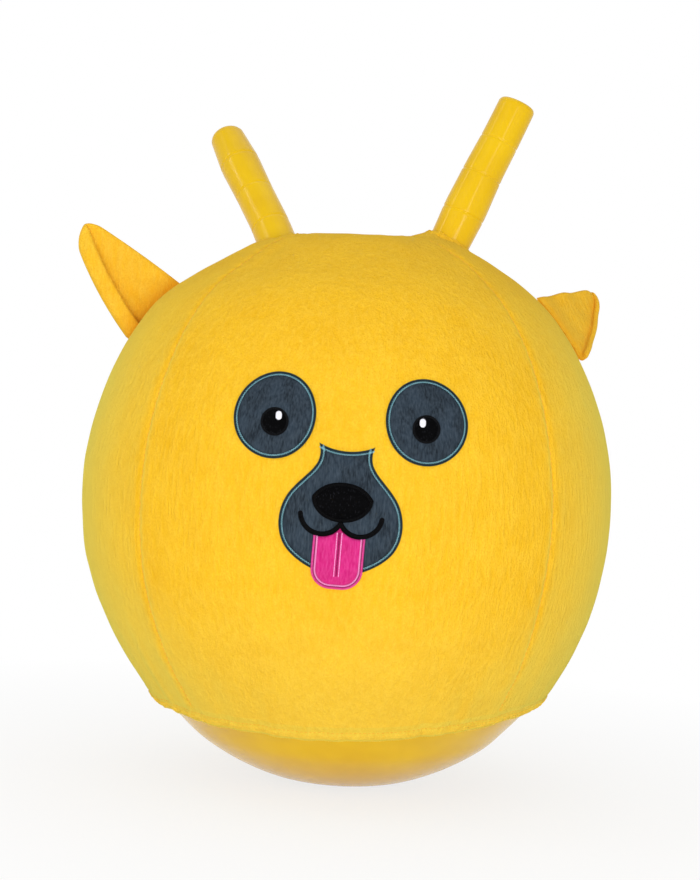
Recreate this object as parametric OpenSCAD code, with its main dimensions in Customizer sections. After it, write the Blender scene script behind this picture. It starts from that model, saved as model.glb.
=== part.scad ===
// A child's hopper ball: a hollow ball with two moulded horn handles, inside a
// sewn plush cover that has an appliqued puppy face and two floppy plush ears.
// Millimetres. Z is up, the face looks towards -Y, and the origin is on the
// floor, under the ball's axis. "Left" is the viewer's left, towards -X.

/* [Ball] */
// Diameter of the ball at its equator
ball_w = 450; // [400:5:520]
// How far past the axis the belly's arc has its centre, more is taller
belly_reach = 40; // [20:1:60]
// Wall of the moulded ball
ball_wall = 1.6; // [1.2:0.1:3]
// Radius of the patch that the ball's weight presses flat on the floor
patch_r = 32; // [20:1:45]
// Angle below the level where the round base takes over from the belly
base_angle = 43; // [36:1:50]
// Angle above the level where the shoulder takes over from the belly
shoulder_angle = 29.6; // [26:0.2:34]
// Radius of the crown's rounded rim
rim_r = 93; // [80:1:105]
// Angle above the level where the shoulder turns into the crown's rim
rim_angle = 63.5; // [61:0.5:66]
// Angle above the level where the rim turns into the crown
crown_angle = 84; // [82:0.5:86]

/* [Horns] */
// Distance of each horn's root from the ball's axis
horn_x = 78.5; // [74:0.5:86]
// Length of a horn from the ball to its tip
horn_len = 145; // [125:1:165]
// Radius of a horn at its root
horn_root_r = 16.8; // [14:0.1:18]
// Radius of a horn where it is thickest, at its lowest grip ring
horn_grip_r = 18.3; // [16:0.1:20]
// Radius of a horn at its tip
horn_tip_r = 15.7; // [13:0.1:17]
// Rounding of a horn's end
horn_end_r = 4; // [2:0.5:6]
// Wall of a horn
horn_wall = 2.2; // [1.6:0.1:3]
// Number of moulded rings round each horn
ring_count = 3; // [2:1:3]
// Distance from one ring to the next, and from the tip to the first
ring_pitch = 36.5; // [32:0.5:40]
// Depth of a ring
ring_depth = 1; // [0.6:0.1:1.4]
// Radius of a ring's groove
ring_r = 1.7; // [1.5:0.1:2.4]
// Radius of the fillet between a horn and the ball
root_fillet = 7; // [4:0.5:9]
// Outward lean of the left horn
lean_left = 26; // [18:1:30]
// Backward bend of the left horn
bend_left = 32; // [0:1:36]
// Outward lean of the right horn
lean_right = 22; // [18:1:30]
// Backward bend of the right horn
bend_right = 0; // [0:1:36]

/* [Valve] */
// Angle below the level at which the valve points, at the back
valve_angle = 55; // [52:1:62]
// Radius of the valve's bore
valve_bore_r = 4; // [3:0.1:4.5]
// Radius of the valve's neck
valve_neck_r = 7; // [6:0.1:8.5]
// Length of the valve's neck inside the ball
valve_neck_len = 16; // [12:1:22]
// Radius of the valve's flange
valve_flange_r = 11.5; // [10:0.5:14]
// Thickness of the valve's flange
valve_flange_t = 1.2; // [1:0.1:2]
// Radial clearance of the plug's stem in the bore
plug_play = 0.08; // [0.03:0.01:0.1]
// Length of the plug's stem
plug_stem_len = 12; // [9:0.5:15]
// Radius of the plug's head
plug_head_r = 8.5; // [7:0.5:9.5]
// Thickness of the plug's head
plug_head_t = 2.4; // [2:0.1:4]

/* [Plush cover] */
// Ease between the ball and the cover
cover_ease = 0.5; // [0.3:0.1:1.5]
// Thickness of the cover, cloth and pile
cover_t = 4.5; // [3:0.1:6]
// Angle below the level where the cover leaves the ball and hangs straight
skirt_angle = 30; // [26:0.5:32]
// How far the skirt's straight run is set in from the round of the ball
skirt_sink = 0.3; // [0.2:0.05:0.8]
// Length of the straight skirt above the hem
skirt_len = 38; // [30:1:42]
// Depth of the folded hem
hem_h = 16; // [14:0.5:20]
// Thickness of the folded hem
hem_t = 6.6; // [6:0.1:7.2]
// How far the hem stands proud of the skirt
hem_proud = 0.4; // [0:0.1:0.8]
// Width of the elastic in the hem
elastic_w = 7.4; // [5:0.1:8]
// Thickness of the elastic in the hem
elastic_t = 1.6; // [1:0.1:2]
// Clearance round the elastic in its channel
elastic_play = 0.3; // [0.2:0.05:0.4]
// Clearance between the cover and a horn
hole_play = 0.5; // [0.3:0.1:1]
// Thickness of the turned-up edge round a horn
hole_edge_t = 3.4; // [2:0.1:4.5]
// Height of the turned-up edge above the cover
hole_edge_h = 6.5; // [4:0.5:9]

/* [Ears] */
// Angle above the level at which an ear leaves the cover
ear_angle = 37.5; // [34:0.5:42]
// Width of an ear at its root
ear_w = 70.5; // [60:0.5:80]
// Length of an ear
ear_len = 92; // [75:1:105]
// How much the upper edge draws in over the ear's length
ear_upper_draw = 12; // [6:0.5:16]
// How much the lower edge draws in over the ear's length
ear_lower_draw = 38; // [30:0.5:42]
// Thickness of each of an ear's two layers
ear_layer = 2.5; // [1.8:0.1:3]
// Radius of the roll along an ear's lower edge
roll_r = 5.5; // [4.5:0.1:7]
// Width of the flap beyond the roll
flap_w = 9; // [5:0.5:12]
// Clearance between an ear's seam and the cover
ear_play = 0.3; // [0.3:0.05:0.6]
// How far the left ear is folded back
fold_left = 0; // [0:1:60]
// How far the right ear is folded back
fold_right = 56; // [0:1:60]

/* [Face] */
// Sideways place of the muzzle, nose, mouth and tongue
muzzle_x = -3.3; // [-6:0.1:6]
// Distance of an eye patch from the middle
eye_x = 57.2; // [50:0.1:64]
// Height of an eye patch above the ball's middle
eye_h = 72; // [60:0.5:78]
// Half length of an eye patch
eye_len = 34.6; // [28:0.1:38]
// Half width of an eye patch
eye_wid = 31.4; // [26:0.1:35]
// Inward lean of an eye patch
eye_lean = 25; // [0:1:40]
// Radius of a pupil
pupil_r = 10.8; // [8:0.1:13]
// How far a pupil sits below its patch's middle
pupil_drop = 4.6; // [0:0.1:8]
// Radius of a catchlight
catch_r = 2.9; // [2:0.1:4]
// How much taller than wide a catchlight is
catch_tall = 1.6; // [0:0.1:3]
// How far a catchlight sits in from its pupil's middle
catch_in = 3; // [0:0.1:5]
// How far a catchlight sits above its pupil's middle
catch_up = 4.6; // [2:0.1:6]
// Width of the muzzle patch
muzzle_w = 93; // [80:0.5:105]
// Height of the muzzle patch above the ball's middle
muzzle_top = 53.4; // [48:0.1:60]
// Depth of the muzzle patch below the ball's middle
muzzle_low = 44.5; // [40:0.1:50]
// Distance between the muzzle patch's two top points
muzzle_tips = 42; // [34:0.5:50]
// Width of the nose
nose_w = 46.2; // [38:0.1:52]
// Top of the nose above the ball's middle
nose_top = 25.3; // [20:0.1:30]
// Bottom of the nose below the ball's middle
nose_low = 4.4; // [3:0.1:4.9]
// Radius of each of the mouth's two arcs
mouth_r = 16.2; // [15:0.1:18]
// Distance of each arc's middle from the muzzle's middle
mouth_x = 14.5; // [13.5:0.1:15]
// Height of the arcs' middle above the ball's middle
mouth_h = 2; // [0:0.1:2.4]
// Width of the mouth line
mouth_line = 3.7; // [2.5:0.1:4]
// Angle below the level at which the mouth's outer ends stop
mouth_end = 7; // [0:1:20]
// Width of the tongue
tongue_w = 39; // [34:0.5:46]
// Depth of the tongue's tip below the ball's middle
tongue_low = 55.2; // [50:0.1:62]
// Rounding of the tongue's corners
tongue_r = 15; // [10:0.5:17]
// Width of the satin stitching round a patch
edging_w = 2.5; // [1.5:0.1:3.5]
// Gap between a piece of the face and what it is sewn to
sewn_play = 0.05; // [0.02:0.01:0.2]
// Thickness of a patch
patch_t = 1.2; // [0.8:0.1:2]
// Thickness of the satin stitching round a patch
edging_t = 1.8; // [1.2:0.1:2.6]
// Thickness of the pupils and of the mouth line
stitch_t = 1.1; // [0.8:0.1:2]
// Thickness of a catchlight
catch_t = 0.7; // [0.5:0.1:1.2]
// Thickness of the padded nose
nose_t = 1.8; // [1:0.1:2.5]

/* [Hidden] */
$fn = 128;

left = -1;
right = 1;
level = 90;
far = 2 * ball_w;
hair = 0.01;

// The ball's outline is a chain of arcs that run into each other. Each arc has
// its centre [r, h] from the ball's middle, and every skin round the ball is
// the same chain with larger radii.
belly_c = [-belly_reach, 0];
belly_r = ball_w / 2 + belly_reach;
base_c = zone_c(-base_angle);
base_r = zone_r(-base_angle);
shoulder_c = zone_c(shoulder_angle);
shoulder_r = zone_r(shoulder_angle);
rim_c = shoulder_c + (shoulder_r - rim_r) * [cos(rim_angle), sin(rim_angle)];
crown_r = rim_r + rim_c[0] / cos(crown_angle);
crown_c = rim_c - (crown_r - rim_r) * [cos(crown_angle), sin(crown_angle)];

// The belly's arc has its centre past the axis, so the belly is made of zones
// of spheres about points on the axis, each touching that arc at its own angle
belly_zones = 12;
function zone_angle(k) = -base_angle + (base_angle + shoulder_angle) * k / belly_zones;
function zone_c(a) = [0, belly_reach * tan(a)];
function zone_r(a) = belly_r - belly_reach / cos(a);

// Height of the ball's middle above the floor
mid_z = sqrt(base_r * base_r - patch_r * patch_r) - base_c[1];

// The skins round the ball, as distances from its surface
cover_in = cover_ease;
cover_out = cover_ease + cover_t;
face_in = cover_out + sewn_play;
patch_out = face_in + patch_t;
top_in = patch_out + sewn_play;
top_out = top_in + stitch_t;

// A pie slice of a circle, between two angles above the level
module slice(c, r, from, to) {
  middle = (from + to) / 2;
  intersection() {
    translate(c) circle(r);
    translate(c) polygon([[0, 0], far * [cos(from), sin(from)],
      2 * far * [cos(middle), sin(middle)], far * [cos(to), sin(to)]]);
  }
}

// Everything below the ray on which the shoulder turns into the rim
module below_rim() {
  translate(shoulder_c) rotate(rim_angle) translate([-far, -2 * far]) square([2 * far, 2 * far]);
}

// Half of the ball's outline, t outside its surface and flat at the bottom.
// The circles are left whole where they lie inside their neighbours.
module outline(t, floor) {
  intersection() {
    union() {
      intersection() {
        for (k = [0:belly_zones]) translate(zone_c(zone_angle(k))) circle(zone_r(zone_angle(k)) + t);
        below_rim();
      }
      translate(rim_c) circle(rim_r + t);
      slice(crown_c, crown_r + t, crown_angle, level);
    }
    translate([0, floor]) square([far, far]);
  }
}

// The solid inside a skin that lies t outside the ball's surface
module inside(t, floor) {
  translate([0, 0, mid_z]) rotate_extrude() outline(t, floor);
}

// The horns

horn_base_h = rim_c[1] + sqrt(rim_r * rim_r - (horn_x - rim_c[0]) * (horn_x - rim_c[0]));
horn_base_tilt = level - acos((horn_x - rim_c[0]) / rim_r);
horn_sunk = 16;

function lean(side) = side == left ? lean_left : lean_right;
function bend(side) = side == left ? bend_left : bend_right;
function ring_at(k) = horn_len - k * ring_pitch;

// Radius of a horn k rings below its tip
function horn_r_at(k) = horn_tip_r + (horn_grip_r - horn_tip_r) * sqrt(k / ring_count);

module at_horn_base(side) {
  translate([side * horn_x, 0, mid_z + horn_base_h]) children();
}

module along_horn(side) {
  at_horn_base(side) rotate([0, side * lean(side), 0]) rotate([-bend(side), 0, 0]) children();
}

// Half of a horn's outline, grown by g
module horn_outline(g) {
  steps = [for (k = [ring_count:-1:1]) [horn_r_at(k) + g, ring_at(k)]];
  end_in = horn_tip_r - horn_end_r;
  polygon(concat(
    [[0, -horn_sunk], [horn_root_r + g, -horn_sunk], [horn_root_r + g, 0]],
    steps,
    [[horn_tip_r + g, horn_len - horn_end_r], [0, horn_len - horn_end_r]]));
  translate([0, horn_len - horn_end_r - hair]) square([end_in, horn_end_r + g + hair]);
  translate([end_in, horn_len - horn_end_r]) circle(horn_end_r + g);
}

module half_plane() {
  translate([0, -far / 2]) square([far, far]);
}

// A horn with its grip rings
module horn_body() {
  rotate_extrude() intersection() {
    difference() {
      horn_outline(0);
      for (k = [1:ring_count])
        translate([horn_r_at(k) - ring_depth + ring_r, ring_at(k)]) circle(ring_r);
    }
    half_plane();
  }
}

// The fillet between a horn and the ball, grown by g
module root_flare(side, g) {
  at_horn_base(side) rotate([0, side * horn_base_tilt, 0]) translate([0, 0, -root_fillet / 3])
    rotate_extrude() difference() {
      translate([0, -root_fillet]) square([horn_root_r + root_fillet, 2 * root_fillet]);
      translate([horn_root_r + root_fillet, root_fillet]) circle(root_fillet - g);
      translate([horn_root_r + root_fillet - g, 0]) square([far, root_fillet]);
    }
}

// A horn and its fillet as one plain solid, grown by g
module horn_space(side, g) {
  along_horn(side) rotate_extrude() intersection() {
    horn_outline(g);
    half_plane();
  }
  root_flare(side, g);
}

module horn_bore(side) {
  along_horn(side) rotate_extrude() polygon(concat(
    [[0, -horn_sunk - hair], [horn_root_r - horn_wall, -horn_sunk - hair]],
    [[horn_root_r - horn_wall, 0]],
    [for (k = [ring_count:-1:1]) [horn_r_at(k) - horn_wall - ring_depth / 2, ring_at(k)]],
    [[horn_tip_r - horn_wall - ring_depth / 2, horn_len - horn_end_r]],
    [[horn_tip_r - horn_end_r, horn_len - horn_wall], [0, horn_len - horn_wall]]));
}

// The valve

module along_valve() {
  translate([0, 0, mid_z + base_c[1]]) rotate([-(level + valve_angle), 0, 0]) children();
}

module ball_skin() {
  color("#E0B81C") difference() {
    union() {
      inside(0, -mid_z);
      for (side = [left, right]) {
        along_horn(side) horn_body();
        root_flare(side, 0);
      }
    }
    inside(-ball_wall, ball_wall - mid_z);
    for (side = [left, right]) horn_bore(side);
    along_valve() translate([0, 0, base_r - valve_neck_len]) cylinder(h = 2 * valve_neck_len, r = valve_neck_r);
  }
}

module valve_sleeve() {
  color("#D8B21E") difference() {
    along_valve() union() {
      translate([0, 0, base_r - valve_neck_len]) cylinder(h = valve_neck_len, r = valve_neck_r);
      intersection() {
        difference() {
          sphere(base_r + valve_flange_t);
          sphere(base_r);
        }
        cylinder(h = far, r = valve_flange_r);
      }
    }
    along_valve() translate([0, 0, base_r - valve_neck_len - 1])
      cylinder(h = valve_neck_len + valve_flange_t + 2, r = valve_bore_r);
  }
}

module valve_plug() {
  seat = base_r + valve_flange_t + 0.2;
  color("#F4F4F0") along_valve() {
    translate([0, 0, seat - plug_stem_len]) cylinder(h = plug_stem_len + hair, r = valve_bore_r - plug_play);
    translate([0, 0, seat]) cylinder(h = plug_head_t / 2, r = plug_head_r);
    translate([0, 0, seat + plug_head_t / 2])
      cylinder(h = plug_head_t / 2, r1 = plug_head_r, r2 = plug_head_r - plug_head_t / 2);
  }
}

// The plush cover

// Turns a flat shape so that X points out of the skirt and -Y runs down it
module on_skirt() {
  translate(belly_c) rotate(-skirt_angle) translate([belly_r - skirt_sink, 0]) children();
}

// The ball's outline t outside its surface, with the skirt's straight run
module skirted(t, floor) {
  outline(t, floor);
  on_skirt() translate([-2 * skirt_len, -2 * skirt_len]) square([2 * skirt_len + t, 2 * skirt_len]);
}

module cover_section() {
  difference() {
    skirted(cover_out, -mid_z);
    skirted(cover_in, -2 * mid_z);
    on_skirt() translate([-far, -far - skirt_len]) square([2 * far, far]);
  }
}

// One of the four panels, with its middle at an angle round the ball
module panel(around) {
  reach = far * sin(45);
  intersection() {
    translate([0, 0, mid_z]) rotate_extrude() intersection() {
      cover_section();
      half_plane();
    }
    rotate(around) linear_extrude(height = far) polygon([[0, 0], [reach, -reach], [reach, reach]]);
  }
}

module cover_front() {
  color("#F9C92B") panel(270);
}

module cover_back() {
  color("#F9C92B") panel(90);
}

module side_panel(side) {
  color("#F9C92B") difference() {
    panel(side == left ? 180 : 0);
    horn_space(side, hole_play);
  }
}

module cover_left() {
  side_panel(left);
}

module cover_right() {
  side_panel(right);
}

hem_in = cover_out + hem_proud - hem_t;

// The hem's channel, or what fills it, with its walls drawn in by g
module hem_core(w, t) {
  translate([hem_in + hem_t / 2, -skirt_len - hem_h / 2]) square([t, w], center = true);
}

module hem_fold() {
  color("#E6CE3A") translate([0, 0, mid_z]) rotate_extrude() on_skirt() difference() {
    union() {
      translate([hem_in, -skirt_len - hem_h + hem_t / 2]) square([hem_t, hem_h - hem_t / 2]);
      translate([hem_in + hem_t / 2, -skirt_len - hem_h + hem_t / 2]) circle(hem_t / 2);
    }
    hem_core(elastic_w + 2 * elastic_play, elastic_t + 2 * elastic_play);
  }
}

module hem_elastic() {
  color("#F2F0E6") translate([0, 0, mid_z]) rotate_extrude() on_skirt() hem_core(elastic_w, elastic_t);
}

// The cover's edge, turned up round a horn
module horn_hole_edge(side) {
  color("#F2BE26") difference() {
    intersection() {
      along_horn(side) translate([0, 0, -horn_sunk])
        cylinder(h = horn_sunk + horn_len / 2, r = horn_root_r + hole_play + hole_edge_t);
      inside(cover_out + hole_edge_h, 0);
    }
    inside(cover_out, 0);
    horn_space(side, hole_play);
  }
}

module horn_hole_edge_left() {
  horn_hole_edge(left);
}

module horn_hole_edge_right() {
  horn_hole_edge(right);
}

// The ears: two layers on one rolled middle surface. Each cross-section runs
// straight from the upper edge, round the roll and out along the flap.

ear_rows = 22;
run_steps = 8;
roll_steps = 6;
flap_steps = 2;
ear_cols = run_steps + roll_steps + flap_steps;
tip_from = 0.82;
roll_fade_from = 0.85;
// The seam that an ear swings about, above the cover
seam_h = 2.6;
seam_half = 1.1;
seam_rise = 0.62;

function clamp01(x) = min(1, max(0, x));
function tip_close(s) = s <= tip_from ? 1 : sqrt(max(0.02, 1 - pow((s - tip_from) / (1 - tip_from), 2)));
function roll_turn(s) = 180 * (1 - clamp01((s - roll_fade_from) / (1 - roll_fade_from)));
function layer_at(s) = (seam_half + (ear_layer - seam_half) * clamp01(s / 0.05)) * (0.45 + 0.55 * tip_close(s));
function roll_at(s) = roll_r * tip_close(s);
function upper_edge(s) = -ear_w / 2 + ear_upper_draw * s;
function lower_edge(s) = ear_w / 2 - ear_lower_draw * (0.6 * s + 0.4 * s * s);
function run_len(s) = (lower_edge(s) - upper_edge(s) - roll_r - ear_layer) * tip_close(s);
function run_start(s) = (lower_edge(s) + upper_edge(s) - roll_r - ear_layer - run_len(s)) / 2;

// Place on the middle surface, across the ear and forward of its seam
function roll_point(s, a) = [run_start(s) + run_len(s) + roll_at(s) * sin(a), roll_at(s) * (1 - cos(a))];
function mid_point(s, j) =
  j <= run_steps ? [run_start(s) + run_len(s) * j / run_steps, 0]
  : j <= run_steps + roll_steps ? roll_point(s, roll_turn(s) * (j - run_steps) / roll_steps)
  : roll_point(s, roll_turn(s)) + flap_w * tip_close(s) * (j - run_steps - roll_steps) / flap_steps
    * [cos(roll_turn(s)), sin(roll_turn(s))];
function mid_turn(s, j) = roll_turn(s) * clamp01((j - run_steps) / roll_steps);

// A point of the ear, g in front of the middle surface: across, back, out
function ear_point(i, j, g) = let (
    s = i / ear_rows,
    m = mid_point(s, j),
    a = mid_turn(s, j),
    x = m[0] - g * sin(a),
    fwd = m[1] + g * cos(a),
    drop = x * x / (2 * (shoulder_r + cover_out)),
    foot = ear_play - drop + seam_rise * m[1]
  ) [x, -fwd, foot + (ear_len - foot) * s];

// A closed solid between two sheets that lie g0 and g1 in front of the middle
module ear_sheet(g0, g1) {
  per_row = ear_cols + 1;
  per_sheet = per_row * (ear_rows + 1);
  function id(k, i, j) = k * per_sheet + i * per_row + j;
  points = [for (k = [0, 1]) for (i = [0:ear_rows]) for (j = [0:ear_cols])
    ear_point(i, j, (k == 0 ? g0 : g1) * layer_at(i / ear_rows))];
  broad = [for (k = [0, 1]) for (i = [0:ear_rows - 1]) for (j = [0:ear_cols - 1]) each
    k == 1
    ? [[id(k, i, j), id(k, i + 1, j), id(k, i + 1, j + 1)], [id(k, i, j), id(k, i + 1, j + 1), id(k, i, j + 1)]]
    : [[id(k, i, j), id(k, i + 1, j + 1), id(k, i + 1, j)], [id(k, i, j), id(k, i, j + 1), id(k, i + 1, j + 1)]]];
  ends = [for (i = [0, ear_rows]) for (j = [0:ear_cols - 1]) each
    i == 0
    ? [[id(0, i, j), id(1, i, j), id(1, i, j + 1)], [id(0, i, j), id(1, i, j + 1), id(0, i, j + 1)]]
    : [[id(0, i, j), id(1, i, j + 1), id(1, i, j)], [id(0, i, j), id(0, i, j + 1), id(1, i, j + 1)]]];
  sides = [for (j = [0, ear_cols]) for (i = [0:ear_rows - 1]) each
    j == 0
    ? [[id(0, i, j), id(1, i + 1, j), id(1, i, j)], [id(0, i, j), id(0, i + 1, j), id(1, i + 1, j)]]
    : [[id(0, i, j), id(1, i, j), id(1, i + 1, j)], [id(0, i, j), id(1, i + 1, j), id(0, i + 1, j)]]];
  polyhedron(points = points, faces = concat(broad, ends, sides), convexity = 8);
}

// Puts an ear on the cover and folds it back about its seam
module at_ear(side, fold) {
  seat = shoulder_c + (shoulder_r + cover_out) * [cos(ear_angle), sin(ear_angle)];
  mirror([side == left ? 1 : 0, 0, 0])
    translate([seat[0], 0, mid_z + seat[1]]) rotate([0, level - ear_angle, 0])
      translate([0, 0, seam_h]) rotate([-fold, 0, 0]) translate([0, 0, -seam_h]) children();
}

module ear_left_front() {
  color("#FBB52A") at_ear(left, fold_left) ear_sheet(0, 1);
}

module ear_left_back() {
  color("#FBC02D") at_ear(left, fold_left) ear_sheet(-1, 0);
}

module ear_right_front() {
  color("#FBB52A") at_ear(right, fold_right) ear_sheet(0, 1);
}

module ear_right_back() {
  color("#FBC02D") at_ear(right, fold_right) ear_sheet(-1, 0);
}

// The face. Each piece is its outline, run through a skin of the cover.

curve_steps = 8;

function curve(p, n) = [for (i = [0:n - 1]) let (t = i / n, u = 1 - t)
  u * u * u * p[0] + 3 * u * u * t * p[1] + 3 * u * t * t * p[2] + t * t * t * p[3]];
function both_sides(half) = concat(half, [for (i = [len(half) - 1:-1:0]) if (half[i][0] > hair) [-half[i][0], half[i][1]]]);
function turned(p) = [-p[1], p[0]] / norm(p);
function wrap(list, i) = list[(i + len(list)) % len(list)];

// A clockwise outline drawn in by w along each corner's bisector
function drawn_in(pts, w) = [for (i = [0:len(pts) - 1]) let (
    n1 = turned(wrap(pts, i) - wrap(pts, i - 1)),
    n2 = turned(wrap(pts, i + 1) - wrap(pts, i))
  ) pts[i] - w * (n1 + n2) / (1 + n1 * n2)];

function egg(len, wid, lean) = [for (i = [0:5 * curve_steps - 1]) let (
    a = -360 * i / (5 * curve_steps),
    x = wid * cos(a) * (1 - 0.04 * sin(a)),
    y = len * sin(a)
  ) [x * cos(lean) + y * sin(lean), y * cos(lean) - x * sin(lean)]];

// Half outlines, as points across from the middle and up from the lowest point,
// in shares of the half width and of the height
muzzle_half = let (
    w = muzzle_w / 2, tip = muzzle_tips / 2, low = -muzzle_low, tall = muzzle_top + muzzle_low,
    dip = low + 0.951 * tall, cheek = low + 0.638 * tall, jaw = low + 0.163 * tall
  ) concat(
  curve([[0, dip], [0.35 * tip, dip], [0.7 * tip, low + 0.967 * tall], [tip, muzzle_top]], curve_steps / 2),
  curve([[tip, muzzle_top], [0.714 * tip, low + 0.837 * tall], [0.6 * w, low + 0.775 * tall], [0.82 * w, cheek]],
    curve_steps),
  curve([[0.82 * w, cheek], [1.05 * w, low + 0.506 * tall], [1.07 * w, low + 0.286 * tall], [0.82 * w, jaw]],
    curve_steps),
  curve([[0.82 * w, jaw], [0.63 * w, low + 0.072 * tall], [0.32 * w, low], [0, low]], curve_steps),
  [[0, low]]);
nose_half = let (
    w = nose_w / 2, low = -nose_low, tall = nose_top + nose_low, wide_at = low + 0.609 * tall
  ) concat(
  curve([[0, nose_top], [0.39 * w, nose_top], [0.74 * w, low + 0.906 * tall], [w, wide_at]], curve_steps),
  curve([[w, wide_at], [0.89 * w, low + 0.249 * tall], [0.48 * w, low], [0, low]], curve_steps),
  [[0, low]]);

module skin_piece(t_in, t_out) {
  intersection() {
    translate([0, 0, mid_z]) rotate_extrude() intersection() {
      translate(belly_c) difference() {
        circle(belly_r + t_out);
        circle(belly_r + t_in);
      }
      translate([ball_w / 4, -ball_w / 4]) square([ball_w / 2, 0.54 * ball_w]);
    }
    translate([0, -ball_w / 4, mid_z]) rotate([90, 0, 0]) linear_extrude(height = ball_w / 2) children();
  }
}

module at_eye(side) {
  translate([side * eye_x, eye_h]) children();
}

module eye_shape(side, inset) {
  at_eye(side) polygon(egg(eye_len - inset, eye_wid - inset, -side * eye_lean));
}

module eye_patch(side) {
  color("#3A4653") skin_piece(face_in, patch_out) eye_shape(side, edging_w);
}

module eye_edging(side) {
  color("#44707E") skin_piece(face_in, face_in + edging_t) difference() {
    eye_shape(side, 0);
    eye_shape(side, edging_w);
  }
}

module pupil(side) {
  color("#141414") skin_piece(top_in, top_out)
    at_eye(side) translate([0, -pupil_drop]) circle(pupil_r);
}

module catchlight(side) {
  color("#ECECF4") skin_piece(top_out + sewn_play, top_out + sewn_play + catch_t)
    at_eye(side) translate([-side * catch_in, catch_up - pupil_drop]) {
      for (up = [-1, 1]) translate([0, up * catch_tall / 2]) circle(catch_r);
      square([2 * catch_r, max(catch_tall, hair)], center = true);
    }
}

module eye_patch_left() {
  eye_patch(left);
}

module eye_patch_right() {
  eye_patch(right);
}

module eye_edging_left() {
  eye_edging(left);
}

module eye_edging_right() {
  eye_edging(right);
}

module pupil_left() {
  pupil(left);
}

module pupil_right() {
  pupil(right);
}

module catchlight_left() {
  catchlight(left);
}

module catchlight_right() {
  catchlight(right);
}

module at_muzzle() {
  translate([muzzle_x, 0]) children();
}

// The two discs whose rims the mouth follows
module mouth_discs(r) {
  for (side = [left, right]) translate([side * mouth_x, mouth_h]) circle(r);
}

// The tongue's flat shape below the mouth line, drawn in by inset at its sides
module tongue_shape(inset) {
  r = tongue_r - inset;
  x = tongue_w / 2 - inset;
  difference() {
    union() {
      translate([-x, -tongue_low + tongue_r]) square([2 * x, tongue_low - tongue_r]);
      translate([r - x, inset - tongue_low]) square([2 * (x - r), tongue_low - inset]);
      for (side = [left, right]) translate([side * (x - r), tongue_r - tongue_low]) circle(r);
    }
    mouth_discs(mouth_r + mouth_line / 2);
    translate([-tongue_w, mouth_h - mouth_r / 2]) square([2 * tongue_w, far]);
  }
}

module muzzle_patch() {
  color("#3A4653") skin_piece(face_in, patch_out) at_muzzle() difference() {
    polygon(drawn_in(both_sides(muzzle_half), edging_w));
    tongue_shape(0);
  }
}

module muzzle_edging() {
  color("#44707E") skin_piece(face_in, face_in + edging_t) at_muzzle() difference() {
    polygon(both_sides(muzzle_half));
    polygon(drawn_in(both_sides(muzzle_half), edging_w));
    tongue_shape(0);
  }
}

module nose() {
  color("#121212") skin_piece(top_in, top_in + nose_t) at_muzzle() difference() {
    polygon(both_sides(nose_half));
    intersection() {
      mouth_shape();
      translate([-far / 2, -far]) square([far, far]);
    }
  }
}

module mouth_arc() {
  out = far * [cos(-mouth_end), sin(-mouth_end)];
  start = [mouth_x, mouth_h];
  intersection() {
    translate(start) difference() {
      circle(mouth_r + mouth_line / 2);
      circle(mouth_r - mouth_line / 2);
    }
    polygon([[0, mouth_h - mouth_r / 4], [mouth_x / 3, mouth_h - mouth_r / 4], start, start + out, [far, -far], [0, -far]]);
  }
  translate(start + mouth_r * [cos(-mouth_end), sin(-mouth_end)]) circle(mouth_line / 2);
}

module mouth_shape() {
  mouth_arc();
  mirror([1, 0]) mouth_arc();
}

module mouth() {
  color("#0E0E10") skin_piece(top_in, top_out) at_muzzle() mouth_shape();
}

module tongue() {
  color("#E0368C") skin_piece(face_in, patch_out) at_muzzle() tongue_shape(edging_w);
}

module tongue_edging() {
  color("#EE62B4") skin_piece(face_in, face_in + edging_t) at_muzzle() difference() {
    tongue_shape(0);
    tongue_shape(edging_w);
  }
}

ball_skin();
valve_sleeve();
valve_plug();
cover_front();
cover_left();
cover_right();
cover_back();
hem_fold();
hem_elastic();
horn_hole_edge_left();
horn_hole_edge_right();
ear_left_front();
ear_left_back();
ear_right_front();
ear_right_back();
eye_patch_left();
eye_patch_right();
eye_edging_left();
eye_edging_right();
pupil_left();
pupil_right();
catchlight_left();
catchlight_right();
muzzle_patch();
muzzle_edging();
nose();
mouth();
tongue();
tongue_edging();
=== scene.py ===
import logging
import math
import random
from collections.abc import Callable, Iterable, Sequence
from dataclasses import dataclass, field
from enum import Enum
from typing import Any

import bmesh
import bpy
from mathutils import Matrix, Vector, noise
from mathutils.geometry import delaunay_2d_cdt
from mathutils.kdtree import KDTree


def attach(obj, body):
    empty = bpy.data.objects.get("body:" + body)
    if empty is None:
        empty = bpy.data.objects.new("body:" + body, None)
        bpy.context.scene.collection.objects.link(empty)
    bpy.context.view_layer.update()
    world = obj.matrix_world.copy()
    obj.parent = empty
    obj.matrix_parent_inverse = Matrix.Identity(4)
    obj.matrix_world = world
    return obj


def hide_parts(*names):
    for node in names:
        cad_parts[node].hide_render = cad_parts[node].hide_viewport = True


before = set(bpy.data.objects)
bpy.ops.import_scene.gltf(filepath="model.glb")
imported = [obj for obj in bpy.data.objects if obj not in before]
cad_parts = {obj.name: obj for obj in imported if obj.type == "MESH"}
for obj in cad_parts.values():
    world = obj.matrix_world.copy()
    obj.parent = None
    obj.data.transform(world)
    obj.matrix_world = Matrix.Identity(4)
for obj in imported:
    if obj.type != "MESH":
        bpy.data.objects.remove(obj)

logging.basicConfig(level=logging.INFO, format="%(message)s")
log = logging.getLogger("hopper_ball")

MM = 0.001
Flat = tuple[float, float]
Outline = list[Flat]


class Body(Enum):
    """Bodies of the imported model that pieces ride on."""

    BALL = "ball"
    EAR_LEFT = "ear_left"
    EAR_RIGHT = "ear_right"


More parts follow.
